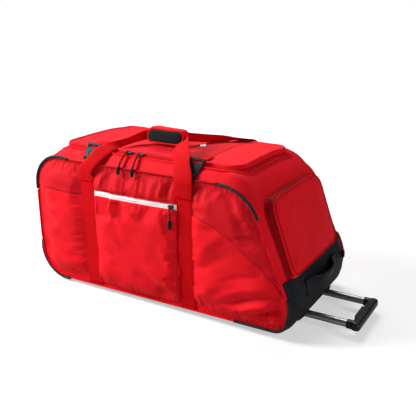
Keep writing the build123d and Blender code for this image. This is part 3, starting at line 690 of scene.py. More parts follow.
def edge_distance(x, z):
    """Distance inwards from the seam line, roughly, for arrays of places."""
    x, z = np.asarray(x, float), np.asarray(z, float)
    flat = np.stack([x.ravel(), z.ravel()], axis=1)
    coarse = SEAM[::3]
    out = np.empty(len(flat))
    for k in range(0, len(flat), 4000):
        part = flat[k:k + 4000]
        out[k:k + 4000] = np.sqrt(((part[:, None] - coarse[None]) ** 2).sum(2).min(1))
    return out.reshape(x.shape)


WRINKLES = simulated_wrinkles()


def front_y(x, z):
    """Y of the front panel's surface."""
    return -HALF_WIDTH - panel_bulge(x, z)


# ------------------------------------------------------------------ front and rear panels
def coons_grid(ring, corners, cols, rows):
    """Fills a closed line with a grid; corners are the numbers of its four corner points, in its order."""
    sides = []
    for k in range(4):
        first, last = corners[k], corners[(k + 1) % 4]
        run = [i % len(ring) for i in range(first, last + 1 if last > first else last + len(ring) + 1)]
        line, count = ring[run], (cols, rows)[k % 2]
        at = np.linspace(0, len(line) - 1, count)
        sides.append(np.stack([np.interp(at, np.arange(len(line)), line[:, i])
                               for i in range(ring.shape[1])], axis=1))
    low, right, high, left = sides[0], sides[1], sides[2][::-1], sides[3][::-1]
    s, r = np.linspace(0, 1, cols)[None, :, None], np.linspace(0, 1, rows)[:, None, None]
    flat = (1 - s) * (1 - r) * low[0] + s * (1 - r) * low[-1] + (1 - s) * r * high[0] + s * r * high[-1]
    return (1 - r) * low[None] + r * high[None] + (1 - s) * left[:, None] + s * right[:, None] - flat


COLS, ROWS = 200, 100
PANEL_CORNERS = [nearest(-437, 38), nearest(314, 34), nearest(206, 344), nearest(-436, 362)]
PANEL = coons_grid(SEAM, PANEL_CORNERS, COLS, ROWS)
ARC_X, ARC_Z = 62.0, 287.0              # where the curved seam starts, beside the right strap
ARC_BEND, ARC_SLOPE = 0.0022, 0.10


def red_seam_side(x, z):
    """Above 0 where the front is dobby cloth, below 0 where it is plain: height over the panel seams."""
    past_strap = np.clip(x - ARC_X, 0, None)
    arc = ARC_Z - ARC_BEND * past_strap ** 2 - ARC_SLOPE * past_strap
    right_seam = (z - arc) / np.sqrt(1 + (2 * ARC_BEND * past_strap + ARC_SLOPE) ** 2)
    return np.where(x < -266.0, z - PANEL_SEAM_Z, np.where(x < 40.0, z - ZIP_Z, right_seam))


def panel_shader(name):
    """Red polyester, dobby cloth above the sewn seams: the cloth's third value is the height over them."""
    s = Shader(name)
    u, v, over = s.cloth()
    tone, fine = s.cloth_tones()
    weave = threads(s, u, v, WEAVE_PITCH)
    spots = dotted(s, u, v, DOBBY_PITCH)
    plain = s.mix(s.span(tone, 0.3, 0.7), RED_DARK, RED)
    dobby = s.mix(s.span(tone, 0.3, 0.7), (0.57, 0.003, 0.009), (0.69, 0.005, 0.014))
    dobby = s.mix(s.times(spots, 0.4), dobby, (0.25, 0.003, 0.008))
    above = s.span(over, -0.3, 0.3)
    color = s.mix(above, plain, dobby)
    color = s.mix(s.span(fine, 0.35, 0.65, 0.0, 0.16), color, (0.45, 0.005, 0.012))
    color = s.mix(s.span(weave, 0.0, 0.5, 0.2, 0.0), color, (0.4, 0.004, 0.01))
    seam = s.span(s.math("ABSOLUTE", over), 0.0, 1.4, 1.0, 0.0)
    color = s.mix(s.times(seam, 0.75), color, (0.22, 0.002, 0.006))
    stitch_line = s.span(s.math("ABSOLUTE", s.minus(over, 4.0)), 0.35, 0.75, 1.0, 0.0)
    stitch = s.times(stitch_line, s.span(s.wave(s.plus(u, v), 3.6), -0.2, 0.2))
    color = s.mix(s.times(stitch, 0.5), color, (0.34, 0.003, 0.008))
    normal = s.bump(s.minus(weave, s.times(s.times(spots, above), 1.2)), 0.00022, 0.5)
    normal = s.bump(s.minus(stitch, s.times(seam, 2.0)), 0.0006, 0.7, normal)
    normal = s.bump(tone, 0.004, 0.12, normal)
    return s.finish(color, s.span(fine, 0.2, 0.8, 0.62, 0.76), normal, Sheen_Weight=0.08, Sheen_Roughness=0.4,
                    Sheen_Tint=(1.0, 0.1, 0.13, 1.0), Specular_IOR_Level=0.09)


paint["panel"] = panel_shader("red_panel")


def seam_groove(distance):
    """A sewn seam in section: a narrow groove beside a slight roll."""
    return -1.6 * bell(distance, 0, 2.2) + 0.8 * bell(distance, 6, 4) + 0.5 * bell(distance, -6, 5)


def panel_points(side):
    """The front (-1) or rear (1) panel's points and cloth coordinates."""
    x, z = PANEL[..., 0], PANEL[..., 1]
    seam = red_seam_side(x, z) if side < 0 else z - PANEL_SEAM_Z
    y = panel_bulge(x, z, side) + seam_groove(seam) * smooth(edge_distance(x, z), 2, 10)
    return stacked(x, side * (HALF_WIDTH + y), z), stacked(x, z, seam)


# ------------------------------------------------------------------ gusset between the panels
def rise(k):
    """How far the gusset stands outside seam point k at its middle."""
    x, z = SEAM[k]
    up = max(0.0, SEAM_OUT[k, 1])
    down = max(0.0, -SEAM_OUT[k, 1])
    top = 30.0 * up ** 2 * float(smooth(x, -430, -340)) * (1.0 - 0.6 * float(smooth(x, 185, 235)))
    upright = 7.0 * (1 - up ** 2) * (1 - down ** 2)
    total = top + upright + 8.0 * down ** 2
    by_guard = float(smooth(-x, 345, 372)) * float(1 - smooth(z, 118, 150))
    return total * (1 - by_guard) + (GUARD_DRAW_IN - 0.2) * by_guard


GUSSET_ROWS = np.r_[0.0, np.linspace(0.006, 0.994, 98), 1.0]
RISE = np.array([rise(k) for k in range(SEAM_COUNT)])
RISE = np.convolve(np.r_[RISE[-5:], RISE, RISE[:5]], np.ones(11) / 11, "valid")
flat_top = SEAM_OUT[:, 1] > 0.8
RISE[flat_top] = np.minimum(RISE[flat_top], (RIM_Z - 0.6 - SEAM[flat_top, 1]) / SEAM_OUT[flat_top, 1])
TOPNESS = np.clip(SEAM_OUT[:, 1], 0, 1)
seam_length = run_length(SEAM)


def gusset_point(k, across, lift=0.0):
    """A point of the gusset: k is a seam number, across is from 0 at the front seam to 1 at the rear."""
    shoulder = 30.0 + 6 * (1 - TOPNESS[k])
    from_edge = np.minimum(across, 1 - across) * 2 * HALF_WIDTH
    height = RISE[k] * np.sin(0.5 * np.pi * np.clip(from_edge / shoulder, 0, 1)) + lift
    x = SEAM[k, 0] + SEAM_OUT[k, 0] * height
    z = SEAM[k, 1] + SEAM_OUT[k, 1] * height
    y = (across * 2 - 1) * HALF_WIDTH
    return x, y, z


def gusset_grid(numbers, across, lift=0.0):
    """Gusset points for seam numbers by across values, as an array."""
    k, share = np.meshgrid(numbers, across, indexing="ij")
    return np.stack(gusset_point(k, share, lift), axis=-1)


def gusset_detail(points, numbers):
    """Soft wrinkles of the gusset, as a lift out of its surface."""
    s = seam_length[np.asarray(numbers)][:, None]
    y = points[..., 1]
    from_edge = HALF_WIDTH - np.abs(y)
    top = TOPNESS[np.asarray(numbers)][:, None]
    wrinkle = value_noise(s, y, 55, 21) * 1.3 + value_noise(s, y, 24, 22) * 0.5
    edge = smooth(from_edge, 3, 22) * (1 - 0.8 * smooth(top, 0.8, 0.95) * smooth(from_edge, 26, 36))
    shoulder_fold = bell(from_edge, 15, 8) * np.sin(s * 0.11 + value_noise(s, y, 60, 5) * 3) * 0.9
    return edge * wrinkle + shoulder_fold * top


def black_part(x, z, out_z):
    """True where the bag's own cloth is black nylon: the underside and the foot of the handle end."""
    return out_z < -0.35 or (x > 285 and z < BLACK_TOP)


def in_bezel(x, y, z):
    """True where the moulded trolley surround takes the cloth's place."""
    return x > BEZEL_BOX[0] and abs(y) < BEZEL_BOX[1] and z < BEZEL_BOX[2]


def in_opening(x, y, z):
    """True at the mouth under the lid, in a wheel well and behind the trolley surround."""
    in_mouth = MOUTH_X[0] < x < MOUTH_X[1] and MOUTH_Y[0] < y < MOUTH_Y[1] and z > MOUTH_Z
    in_well = math.hypot(x - WHEEL_X, z - WHEEL_Z) < WELL_R and WELL_Y[0] < abs(y) < WELL_Y[1]
    return in_mouth or in_well or in_bezel(x, y, z)


def body_mesh():
    """The bag's fabric: both panels and the gusset, open at the mouth, the wheel wells and the trolley."""
    front, front_cloth = panel_points(-1.0)
    rear, rear_cloth = panel_points(1.0)
    numbers = list(range(SEAM_COUNT))
    grid = gusset_grid(numbers, GUSSET_ROWS)
    grid[..., ::2] += SEAM_OUT[:, None, :] * gusset_detail(grid, numbers)[..., None]
    rows = len(GUSSET_ROWS)
    gusset_cloth = stacked(seam_length[:, None], grid[..., 1], NO_SEAM)
    gusset = grid.reshape(-1, 3)
    start_rear = len(front)
    start_gusset = start_rear + len(rear)
    panel_quads = grid_faces(ROWS, COLS)
    faces = shifted(panel_quads, 0, flip=True) + shifted(panel_quads, start_rear)
    finish = [0] * len(faces)
    for face in grid_faces(SEAM_COUNT, rows, wrap_rows=True):
        x, y, z = gusset[list(face)].mean(0)
        if not in_opening(x, y, z):
            faces += shifted([face], start_gusset, flip=True)
            finish.append(2 if black_part(x, z, SEAM_OUT[face[0] // rows, 1]) else 0)
    points = np.vstack([front, rear, gusset])
    cloth = np.vstack([front_cloth, rear_cloth, gusset_cloth])
    obj = make_mesh("bag_body", points, faces, cloth, paint["panel"])
    for other in ("lining", "black_fabric", "lining"):
        obj.data.materials.append(paint[other])
    obj.data.polygons.foreach_set("material_index", finish)
    modify(obj, "SOLIDIFY", thickness=BAG_THICK * MM, offset=-1.0, use_rim=True, material_offset=1,
           material_offset_rim=0, use_even_offset=False)
    return obj


place(body_mesh(), "bag", ["main_shell"])


# ------------------------------------------------------------------ piping
PIPING_LIFT, PIPING_OUT = 1.0, 1.2


def seam_line(run, side):
    """The line of the piping along part of the seam."""
    flat = SEAM[run] + SEAM_OUT[run] * PIPING_LIFT
    return stacked(flat[:, 0], side * (HALF_WIDTH + PIPING_OUT), flat[:, 1])


PIPING_RUNS = [
    ("red_bottom", "red_cord", (-366, 16), (181, 23)),
    ("black_corner", "black_cord", (182, 23), (324, 113)),
    ("red_right", "red_cord", (323, 116), (243, 302)),
    ("black_top_right", "black_cord", (242, 304), (128, 377)),
    # the front's top piping takes the darker red that paints seam shade
    ("red_top", "red_seam_shade", (125, 377), (-342, 374)),
    ("black_top_left", "black_cord", (-345, 375), (-461, 273)),
    ("red_left", "red_cord", (-461, 270), (-370, 16)),
]
for side_name, side in SIDE_SIGN.items():
    for index, (name, finish, start, end) in enumerate(PIPING_RUNS):
        line = seam_line(seam_run(start, end), side)
        if side > 0 and name == "black_top_right":
            finish = "red_cord"
        radius, slot = (PIPING_R, "black_fabric") if "black" in finish else (RED_PIPING_R, "red_piping")
        cord = tube(f"{side_name}_piping_{name}", line, radius, paint[finish])
        place(cord, "bag", [f"{side_name}_piping"] if index == 0 else ())


GUARD_R, GUARD_THICK = 87.0, 7.0
GUARD_Y, GUARD_WIDTH = 173.0, 40.0
GUARD_ARC = (math.radians(166), math.radians(278))       # from above the wheel's side round to under it


def corner_guard(side_name, side):
    """The moulded strip that stands out round the bag's corner beside the wheel."""
    angles = np.linspace(*GUARD_ARC, 70)
    out = stacked(np.cos(angles), 0.0, np.sin(angles))
    centres = out * GUARD_R + (GUARD_MIDDLE[0], side * GUARD_Y, GUARD_MIDDLE[1])
    strip = ribbon(f"{side_name}_corner_guard", centres, (0, 1, 0), out, GUARD_WIDTH, GUARD_THICK,
                   paint["plastic"])
    modify(strip, "BEVEL", width=1.2 * MM, segments=2, limit_method="ANGLE")
    place(strip, "bag", ())


for side_name, side in SIDE_SIGN.items():
    corner_guard(side_name, side)


# ------------------------------------------------------------------ straps
def strap_line(which, side, low, high, stand):
    """Centres of a strap that lies on the front or rear panel."""
    z = np.linspace(low, high, 80)
    x = strap_middle(which, z)
    y = side * (HALF_WIDTH + panel_bulge(x, z, side) * smooth(z, low - 4, low + 20) + stand)
    return stacked(x, y, z)


for side_name, side in SIDE_SIGN.items():
    for which, end in enumerate(("left", "right")):
        centres = strap_line(which, side, STRAP_LOW_Z, STRAP_TOP_Z, 1.2)
        strap = ribbon(f"{side_name}_strap_{end}_webbing", centres, (1, 0, 0), (0, side, 0), WEB_WIDTH,
                       WEB_THICK, paint["red_web"])
        replaced = [f"front_strap_{end}"] if side < 0 else (["rear_straps"] if end == "left" else [])
        place(strap, "bag", replaced)


# ------------------------------------------------------------------ stitching
class Stitches:
    """Collects short raised threads that ride on one body, and makes them one mesh."""

    def __init__(self, name, body, finish, slot):
        self.name, self.body, self.finish, self.slot = name, body, finish, slot
        self.points, self.faces, self.cloth = [], [], []

    def line(self, path, pitch=3.4, share=0.68, radius=0.45):
        """One thread every pitch along a line of points, standing half out of it."""
        step = 0.5
        path = resample(path, step)
        run = np.arange(len(path)) * step
        for start in np.arange(pitch * 0.2, run[-1] - pitch * share, pitch):
            at = start + np.linspace(0, pitch * share, 4)
            centre = np.stack([np.interp(at, run, path[:, i]) for i in range(3)], axis=1)
            along = centre[-1] - centre[0]
            along /= np.linalg.norm(along) + 1e-9
            side = np.cross(along, (0.31, 0.52, 0.79))
            side /= np.linalg.norm(side)
            up = np.cross(along, side)
            first = len(self.points)
            for row, size in zip(centre, (0.4, 1.0, 1.0, 0.4)):
                for angle in np.linspace(0, TURN, 5, endpoint=False):
                    self.points.append(row + radius * size * (math.cos(angle) * side + math.sin(angle) * up))
                    self.cloth.append((start, angle))
            self.faces += shifted(grid_faces(4, 5, wrap_cols=True) + end_caps(4, 5), first)

    def box(self, corners):
        """A box with a cross in it, from four corner points."""
        a, b, c, d = (np.asarray(p, float) for p in corners)
        for start, end in ((a, b), (b, c), (c, d), (d, a), (a, c), (b, d)):
            self.line(np.array([start, end]))

    def build(self):
        obj = make_mesh(self.name, self.points, self.faces, np.array(self.cloth), paint[self.finish])
        return place(obj, self.body, ())


bag_thread = Stitches("bag_stitches", "bag", "red_cord", "red_webbing")
for side in SIDE_SIGN.values():
    for which in (0, 1):
        line = strap_line(which, side, STRAP_LOW_Z + 4, STRAP_TOP_Z, 2.4)
        for offset in (-22.0, 22.0):
            bag_thread.line(line + (offset, 0, 0))
        for z_low, z_high in ((STRAP_TOP_Z - 24, STRAP_TOP_Z - 2), (STRAP_LOW_Z + 6, STRAP_LOW_Z + 26)):
            near = line[np.argmin(abs(line[:, 2] - 0.5 * (z_low + z_high)))]
            bag_thread.box([(near[0] + dx, near[1], z)
                            for dx, z in ((-20, z_low), (20, z_low), (20, z_high), (-20, z_high))])
bag_thread.build()


# ------------------------------------------------------------------ handles
def twisted_ribbon(name, stations, count, thick, material):
    """Webbing through stations of centre, width direction and width, twisting smoothly between them."""
    line = spline([(*centre, *across, width) for centre, across, width in stations], count)
    centres, across, width = line[:, :3], unit(line[:, 3:6]), line[:, 6]
    along = unit(np.gradient(centres, axis=0))
    return ribbon(name, centres, across, unit(np.cross(along, across)), width, thick, material)


ON_EDGE = (0, 0, -1)        # the webbing's width direction inside the wrap, where it stands on edge


def edged(first, second):
    """A handle station from the two edges of the webbing there."""
    first, second = np.array(first, float), np.array(second, float)
    width = float(np.linalg.norm(second - first))
    return 0.5 * (first + second), (second - first) / width, width


FRONT_HANDLE = [
    edged((-298, -197.5, 326), (-248, -197.5, 326)), edged((-298, -198.5, 344), (-248, -198.5, 342)),
    edged((-294, -200, 362), (-252, -201, 349)), edged((-277, -200, 380), (-243, -203, 364)),
    edged((-262, -194, 398), (-230, -199, 380)), edged((-250, -178, 415), (-214, -182, 398)),
    edged((-237, -155, 425), (-203, -155, 411)), edged((-215, -134, 431), (-197, -122, 416)),
    edged((-190, -108, 439), (-188, -92, 420)), edged((-168, -66, 452), (-170, -64, 425)),
    ((-150, -58, 442), ON_EDGE, 26), ((-126, -56, 442), ON_EDGE, 26),
    ((-100, -56, 442), ON_EDGE, 26), ((-74, -56, 442), ON_EDGE, 26),
    edged((-50, -58, 456), (-50, -58, 429)), edged((-34, -64, 455), (-36, -62, 434)),
    edged((-24, -76, 453), (-33, -74, 438)), edged((-6, -98, 446), (-34, -100, 438)),
    edged((16, -132, 435), (-31, -130, 431)), edged((34, -158, 426), (-17, -158, 422)),
    edged((46, -178, 413), (-4, -178, 407)), edged((60, -193, 394), (8, -193, 386)),
    edged((65, -200, 374), (13, -200, 366)), edged((64, -199, 352), (13, -199, 348)),
    edged((62.5, -197.5, 326), (12.5, -197.5, 326)),
]
REAR_HANDLE = [
    ((-273, 197.5, 326), (1, 0, 0), 50), ((-273, 198, 346), (1, 0, 0), 50),
    ((-271, 199, 372), (1, 0, 0), 50), ((-264, 190, 396), (1, 0, -0.05), 50),
    ((-254, 164, 415), (1, 0, -0.1), 48), ((-241, 128, 419.5), (0.97, 0, -0.15), 42),
    ((-225, 90, 421), (0.85, 0, -0.45), 32), ((-204, 50, 426), (0.5, 0, -0.85), 26),
    ((-184, 10, 434), (0.2, 0, -0.98), 25), ((-164, -22, 438), ON_EDGE, 25), ((-140, -34, 438), ON_EDGE, 25),
    ((-112, -35, 438), ON_EDGE, 25), ((-84, -34, 438), ON_EDGE, 25), ((-59, -26, 438), ON_EDGE, 25),
    ((-40, -6, 435), (-0.1, 0, -1), 24), ((-22, 24, 429), (-0.2, 0, -0.97), 24),
    ((-5, 58, 425), (-0.5, 0, -0.85), 26), ((10, 96, 421), (-0.85, 0, -0.45), 34),
    ((22, 134, 419), (-0.98, 0, -0.15), 43), ((31, 166, 414), (-1, 0, -0.05), 49),
    ((36, 188, 397), (-1, 0, 0), 50), ((38, 199, 374), (-1, 0, 0), 50),
    ((37.5, 198, 348), (-1, 0, 0), 50), ((37.5, 197.5, 326), (-1, 0, 0), 50),
]
for side_name, stations in (("front", FRONT_HANDLE), ("rear", REAR_HANDLE)):
    side = SIDE_SIGN[side_name]
    band = twisted_ribbon(f"{side_name}_handle_webbing", stations, 260, 2.2, paint["red_web"])
    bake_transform(band)
    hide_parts(f"{side_name}_handle")


# ------------------------------------------------------------------ padded wrap
WRAP_MIDDLE = (-97.0, -60.0, 444.0)
WRAP_HALF = (61.0, 13.0, 22.5)


def wrap_half_height(t):
    """Half height of the wrap at t from -1 to 1 along it: rounded ends."""
    return WRAP_HALF[2] * (1 - np.abs(t) ** 9) ** 0.26


def wrap_point(t, angle, grow=0.0):
    """A point on the wrap: t along it, angle round it from the top."""
    high = wrap_half_height(t) + grow
    deep = WRAP_HALF[1] * (1 - np.abs(t) ** 8) ** 0.4 + grow
    c, s = np.cos(angle), np.sin(angle)
    squared = (np.abs(c) ** 3.4 + np.abs(s) ** 3.4) ** (-1 / 3.4)
    x = WRAP_MIDDLE[0] + t * (WRAP_HALF[0] + grow) + 0.22 * high * c * squared
    y = WRAP_MIDDLE[1] + deep * s * squared
    z = WRAP_MIDDLE[2] + high * c * squared + 1.2 * value_noise(x, y, 26, 31)
    return np.stack(np.broadcast_arrays(x, y, z), axis=-1)


def handle_wrap():
    """The padded wrap: a red bound pad with a black face on each side."""
    t = np.sin(np.linspace(-0.5, 0.5, 56) * math.pi) * 0.9995
    angles = np.linspace(0, TURN, 44, endpoint=False)
    points = wrap_point(t[:, None], angles[None, :])
    faces = grid_faces(56, 44, wrap_cols=True) + end_caps(56, 44)
    cloth = stacked(t[:, None] * 57, angles[None, :] * 18)
    pad = make_mesh("handle_wrap_pad", points.reshape(-1, 3), faces, cloth, paint["red"])
    place(pad, "front_handle", ["handle_wrap"])
    for name, middle in (("front", 1.5 * math.pi), ("rear", 0.5 * math.pi)):
        u, v = np.meshgrid(np.linspace(-1, 1, 60), np.linspace(-1, 1, 26), indexing="ij")
        squeeze = 1 - 0.30 * np.abs(v) ** 4 * np.abs(u) ** 3
        along = u * 0.915 * (1 - 0.03 * np.abs(v) ** 6)
        angle = middle + v * 0.78 * (1 - 0.26 * np.abs(u) ** 9)
        face_points = wrap_point(along * squeeze ** 0.2, angle, grow=1.0)
        face = make_mesh(f"handle_wrap_face_{name}", face_points.reshape(-1, 3), grid_faces(60, 26),
                         stacked(u * 50, v * 15), paint["black_fabric"])
        modify(face, "SOLIDIFY", thickness=1.4 * MM, offset=0.0)
        place(face, "front_handle", ())
        edge = np.vstack([face_points[:, 0], face_points[-1, 1:-1], face_points[::-1, -1],
                          face_points[0, -2:0:-1]])
        edge = resample(edge, 2.5, closed=True)
        binding = tube(f"handle_wrap_binding_{name}", edge, 2.7, paint["red_cord"], closed=True)
        place(binding, "front_handle", ())


handle_wrap()


# ------------------------------------------------------------------ lid
def lid_ring(grow, step):
    """The line of the lid's edge, moved outwards: tight corners at the left, wide ones at the right."""
    left, right, front, rear = LID_X[0] - 9 - grow, LID_X[1] + grow, LID_FRONT_Y - grow, LID_REAR_Y + grow
    tight, wide = 20 + grow, 46 + grow
    corners = [(left, front, tight), (right, front, wide), (right, rear, wide), (left, rear, tight)]
    line = corner_path(corners, step)
    return stacked(line[:, 0], line[:, 1], 0.0)


top_run = [k for k in range(SEAM_COUNT) if SEAM_OUT[k, 1] > 0.25 and SEAM[k, 1] > 200]
top_line = np.array(sorted((SEAM[k, 0] + SEAM_OUT[k, 0] * RISE[k], SEAM[k, 1] + SEAM_OUT[k, 1] * RISE[k])
                           for k in top_run))


def bag_top(x):
    """Height of the bag's top under the lid's edge."""
    return np.interp(x, top_line[:, 0], top_line[:, 1])


LID_RIM = lid_ring(-1.0, 4.5)
LID_MIDDLE = np.array([0.5 * (LID_X[0] + LID_X[1]), 0.5 * (LID_FRONT_Y + LID_REAR_Y), 0.0])
LID_SEAM_X = 62.0
LID_PROFILE = [(0.0, 405.2), (-0.8, 407.2), (0.0, 409.8), (1.4, 412.6), (3.6, 414.6), (6.4, 414.8),
               (8.8, 413.4), (10.6, 412.0), (13.0, 411.6)]


def lid_folds(x, y):
    """The lid's soft folds and its cross seam."""
    lift = value_noise(x, y, 70, 41) * 1.3 + value_noise(x, y, 30, 42) * 0.5
    for start, end, width, height in LID_FOLDS:
        lift = lift + ridge(x, y, start, end, width, height)
    lift = lift - 1.8 * bell(x, LID_SEAM_X, 2.2) + 0.9 * bell(x, LID_SEAM_X - 6, 4)
    return lift


LID_FOLDS = [
    ((80, 60), (165, 90), 8, 2.2), ((78, 20), (160, 40), 9, -1.6), ((84, 100), (165, 126), 7, 1.8),
    ((90, -60), (160, -120), 10, 2.0), ((70, -100), (150, -140), 9, 1.6), ((-360, -40), (-250, 40), 14, 2.2),
    ((-350, 60), (-240, 120), 12, -1.8), ((-180, 20), (-60, 90), 16, 1.6), ((-40, -120), (50, -60), 12, 2.0),
    ((-340, -110), (-240, -70), 10, 1.6), ((-60, 40), (40, 110), 12, -1.4),
]


def lid_shell():
    """The lid as a crowned shell with a rolled edge, lined underneath."""
    count = len(LID_RIM)
    rows = []
    tangent = unit(np.roll(LID_RIM, -1, 0) - np.roll(LID_RIM, 1, 0))
    normal_in = stacked(-tangent[:, 1], tangent[:, 0], 0.0)
    if (normal_in * (LID_MIDDLE - LID_RIM)).sum() < 0:
        normal_in = -normal_in
    low_by = np.clip(RIM_Z - bag_top(LID_RIM[:, 0]), 0, 8)
    for number, (inset, z) in enumerate(LID_PROFILE):
        row = LID_RIM + normal_in * inset
        row[:, 2] = z - low_by * max(0.0, 1 - number / 3)
        rows.append(row)
    points = np.array(rows)
    points[..., 2] += (bell(np.arange(len(rows)), 4.5, 2.0)[:, None]
                       * 0.7 * value_noise(points[..., 0], points[..., 1], 22, 44))
    inner = points[-1]
    corners = [int(np.argmin(np.abs(inner[:, 0] - x) + np.abs(inner[:, 1] - y)))
               for x, y in ((-372, -136), (158, -130), (158, 140), (-372, 145))]
    top = coons_grid(inner, corners, 130, 70)
    x, y = top[..., 0], top[..., 1]
    edge = np.minimum(np.minimum(x + 372, 160 - x), np.minimum(y + 136, 145 - y))
    top[..., 2] = inner[:, 2].mean() + 3.2 * smooth(edge, 0, 70) + smooth(edge, 0, 22) * lid_folds(x, y)
    flat = np.vstack([points.reshape(-1, 3), top.reshape(-1, 3)])
    faces = grid_faces(len(rows), count, wrap_cols=True)
    faces += shifted(grid_faces(70, 130), len(rows) * count, flip=True)
    cloth = stacked(flat[:, 0], flat[:, 1], LID_SEAM_X - flat[:, 0])
    obj = make_mesh("lid_shell", flat, faces, cloth, paint["panel"])
    obj.data.materials.append(paint["lining"])
    modify(obj, "WELD", merge_threshold=1.5 * MM)
    face_up(obj, (0, 0, 1))
    modify(obj, "SOLIDIFY", thickness=LID_THICK * MM, offset=-1.0, material_offset=1, use_rim=True)
    place(obj, "lid", ["lid_panel"])


lid_shell()


def ring_part(ring, keep):
    """The longest run of a closed line whose points satisfy keep."""
    flags = np.array([keep(p) for p in ring])
    first = int(np.argmin(flags))
    rolled, flags = np.roll(ring, -first, 0), np.roll(flags, -first)
    return rolled[flags]


def coil(name, path, out, body, finish, replaced=(), radius=1.7):
    """A zipper's coil: a fine ribbed cord."""
    step, pitch = 0.62, 2.5
    path = resample(path, step)
    run = np.arange(len(path)) * step
    bumps = radius * (1 + 0.22 * np.sin(TURN * run / pitch))
    obj = tube(name, path, bumps, paint[finish], sides=8, up=out)
    return place(obj, body, replaced)


def not_hinge(point):
    """True for a point of the lid's edge that isn't at its hinge."""
    return point[1] < LID_REAR_Y - 26


def offset_ring(grow, lift):
    """The open line round the lid's three free sides, outside it and above the bag's top."""
    line = ring_part(lid_ring(grow, 3.0), not_hinge)
    line[:, 2] = bag_top(line[:, 0]) + lift
    return line


def flat_band(name, ring, width, body, finish, replaced=(), thick=1.2):
    """A flat tape that lies level along a line."""
    along, out, side = line_frames(ring, (0, 0, 1))
    return place(ribbon(name, ring, side, out, width, thick, paint[finish]), body, replaced)


coil("lid_zipper_coil", offset_ring(5.0, 2.6), (0, 0, 1), "bag", "red_cord")
flat_band("lid_zipper_rim_tape", offset_ring(8.0, 1.0), 14, "bag", "red_web",
          ["rim_zipper_tape"])
flat_band("lid_zipper_lid_tape", offset_ring(-5.0, 1.4), 10, "lid", "red_web",
          ["lid_zipper_tape"], 0.8)
place(tube("lid_rim_roll", offset_ring(15.5, 0.2), 2.8, paint["red_cord"], up=(0, 0, 1)), "bag", ())


def hinge_strip():
    """The strip of cloth that the lid folds from."""
    x = np.linspace(LID_X[0] + 30, LID_X[1] - 30, 70)
    profile = [(150, 412.6), (156, 412.2), (161, 409.0), (164, 406.0), (170, 404.6), (178, 403.4)]
    points = np.array([[(px, py, pz + 0.5 * value_noise(px, py, 30, 51)) for py, pz in profile] for px in x])
    obj = make_mesh("lid_hinge_cloth", points.reshape(-1, 3), grid_faces(len(x), len(profile)),
                    stacked(points[..., 0], points[..., 1]), paint["red_web"])
    modify(obj, "SOLIDIFY", thickness=1.2 * MM, offset=0.0)
    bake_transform(obj)
    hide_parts("lid_hinge_strip")


hinge_strip()


# ------------------------------------------------------------------ buckles and their tabs
def extruded(name, outer, holes, plane, thick, bevel, material):
    """A plate with holes: outer and hole loops as flat points, laid in a plane of (origin, right, up)."""
    curve = bpy.data.curves.new(name + "_line", "CURVE")
    curve.dimensions = "2D"
    curve.fill_mode = "BOTH"
    for loop in [outer, *holes]:
        spl = curve.splines.new("POLY")
        spl.points.add(len(loop) - 1)
        for point, (px, py) in zip(spl.points, loop):
            point.co = (px * MM, py * MM, 0, 1)
        spl.use_cyclic_u = True
    curve.extrude = (0.5 * thick - bevel) * MM
    curve.bevel_depth = bevel * MM
    curve.bevel_resolution = 2
    holder = bpy.data.objects.new(name + "_line", curve)
    bpy.context.scene.collection.objects.link(holder)
    bpy.context.view_layer.update()
    mesh = bpy.data.meshes.new_from_object(holder.evaluated_get(bpy.context.evaluated_depsgraph_get()))
    bpy.data.objects.remove(holder)
    origin, right, up = (Vector(v) for v in plane)
    right, up = right.normalized(), up.normalized()
    turn = Matrix((right, up, right.cross(up))).transposed().to_4x4()
    mesh.transform(Matrix.Translation(origin * MM) @ turn)
    mesh.materials.clear()
    mesh.materials.append(material)
    mesh.polygons.foreach_set("use_smooth", [False] * len(mesh.polygons))
    obj = bpy.data.objects.new(name, mesh)
    bpy.context.scene.collection.objects.link(obj)
    return obj


BUCKLE_X = {"left": -271.0, "right": 55.0}
PLUG = np.array((0.0, -193.5, 378.0))
BAR = np.array((0.0, -155.5, 421.0))


def buckle(end, middle):
    """The plug half: a frame that holds the tab's webbing, and a body that tapers to the plug."""
    low, high = PLUG + (middle, 0, 0), BAR + (middle, 0, 0)
    rise = high - low
    length = float(np.linalg.norm(rise))
    outer = [(-9, -2), (-11, 8), (-20.5, length - 18), (-21.5, length - 2), (-19, length + 1),
             (19, length + 1), (21.5, length - 2), (20.5, length - 18), (11, 8), (9, -2)]
    slot = [(-16.5, length - 14), (16.5, length - 14), (16.5, length - 4.0), (-16.5, length - 4.0)]
    rib = [(-5, 2), (-12, length - 21), (12, length - 21), (5, 2)]
    rib_hole = [(-2, 9), (2, 9), (5, length - 26), (-5, length - 26)]
    face = np.cross((1, 0, 0), rise / length)
    prongs = [(-8.4, -9), (-8.8, 2), (8.8, 2), (8.4, -9), (5.4, -11), (4.6, -4), (1.6, -4), (1.4, -9),
              (-1.4, -9), (-1.6, -4), (-4.6, -4), (-5.4, -11)]
    for name, outline, holes, origin, up, thick, bevel in (
            ("frame", outer, [slot], low, rise, 5.0, 1.1),
            ("rib", rib, [rib_hole], low + face * 2.6, rise, 1.8, 0.5),
            ("prongs", prongs, [], PLUG + (middle, 1.0, -1.0), (0, 0, 1), 2.8, 0.5)):
        piece = extruded(f"buckle_{end}_{name}", outline, holes, (origin, (1, 0, 0), up), thick, bevel,
                         paint["gloss"])
        place(piece, "lid", [f"buckle_{end}"] if name == "frame" else ())


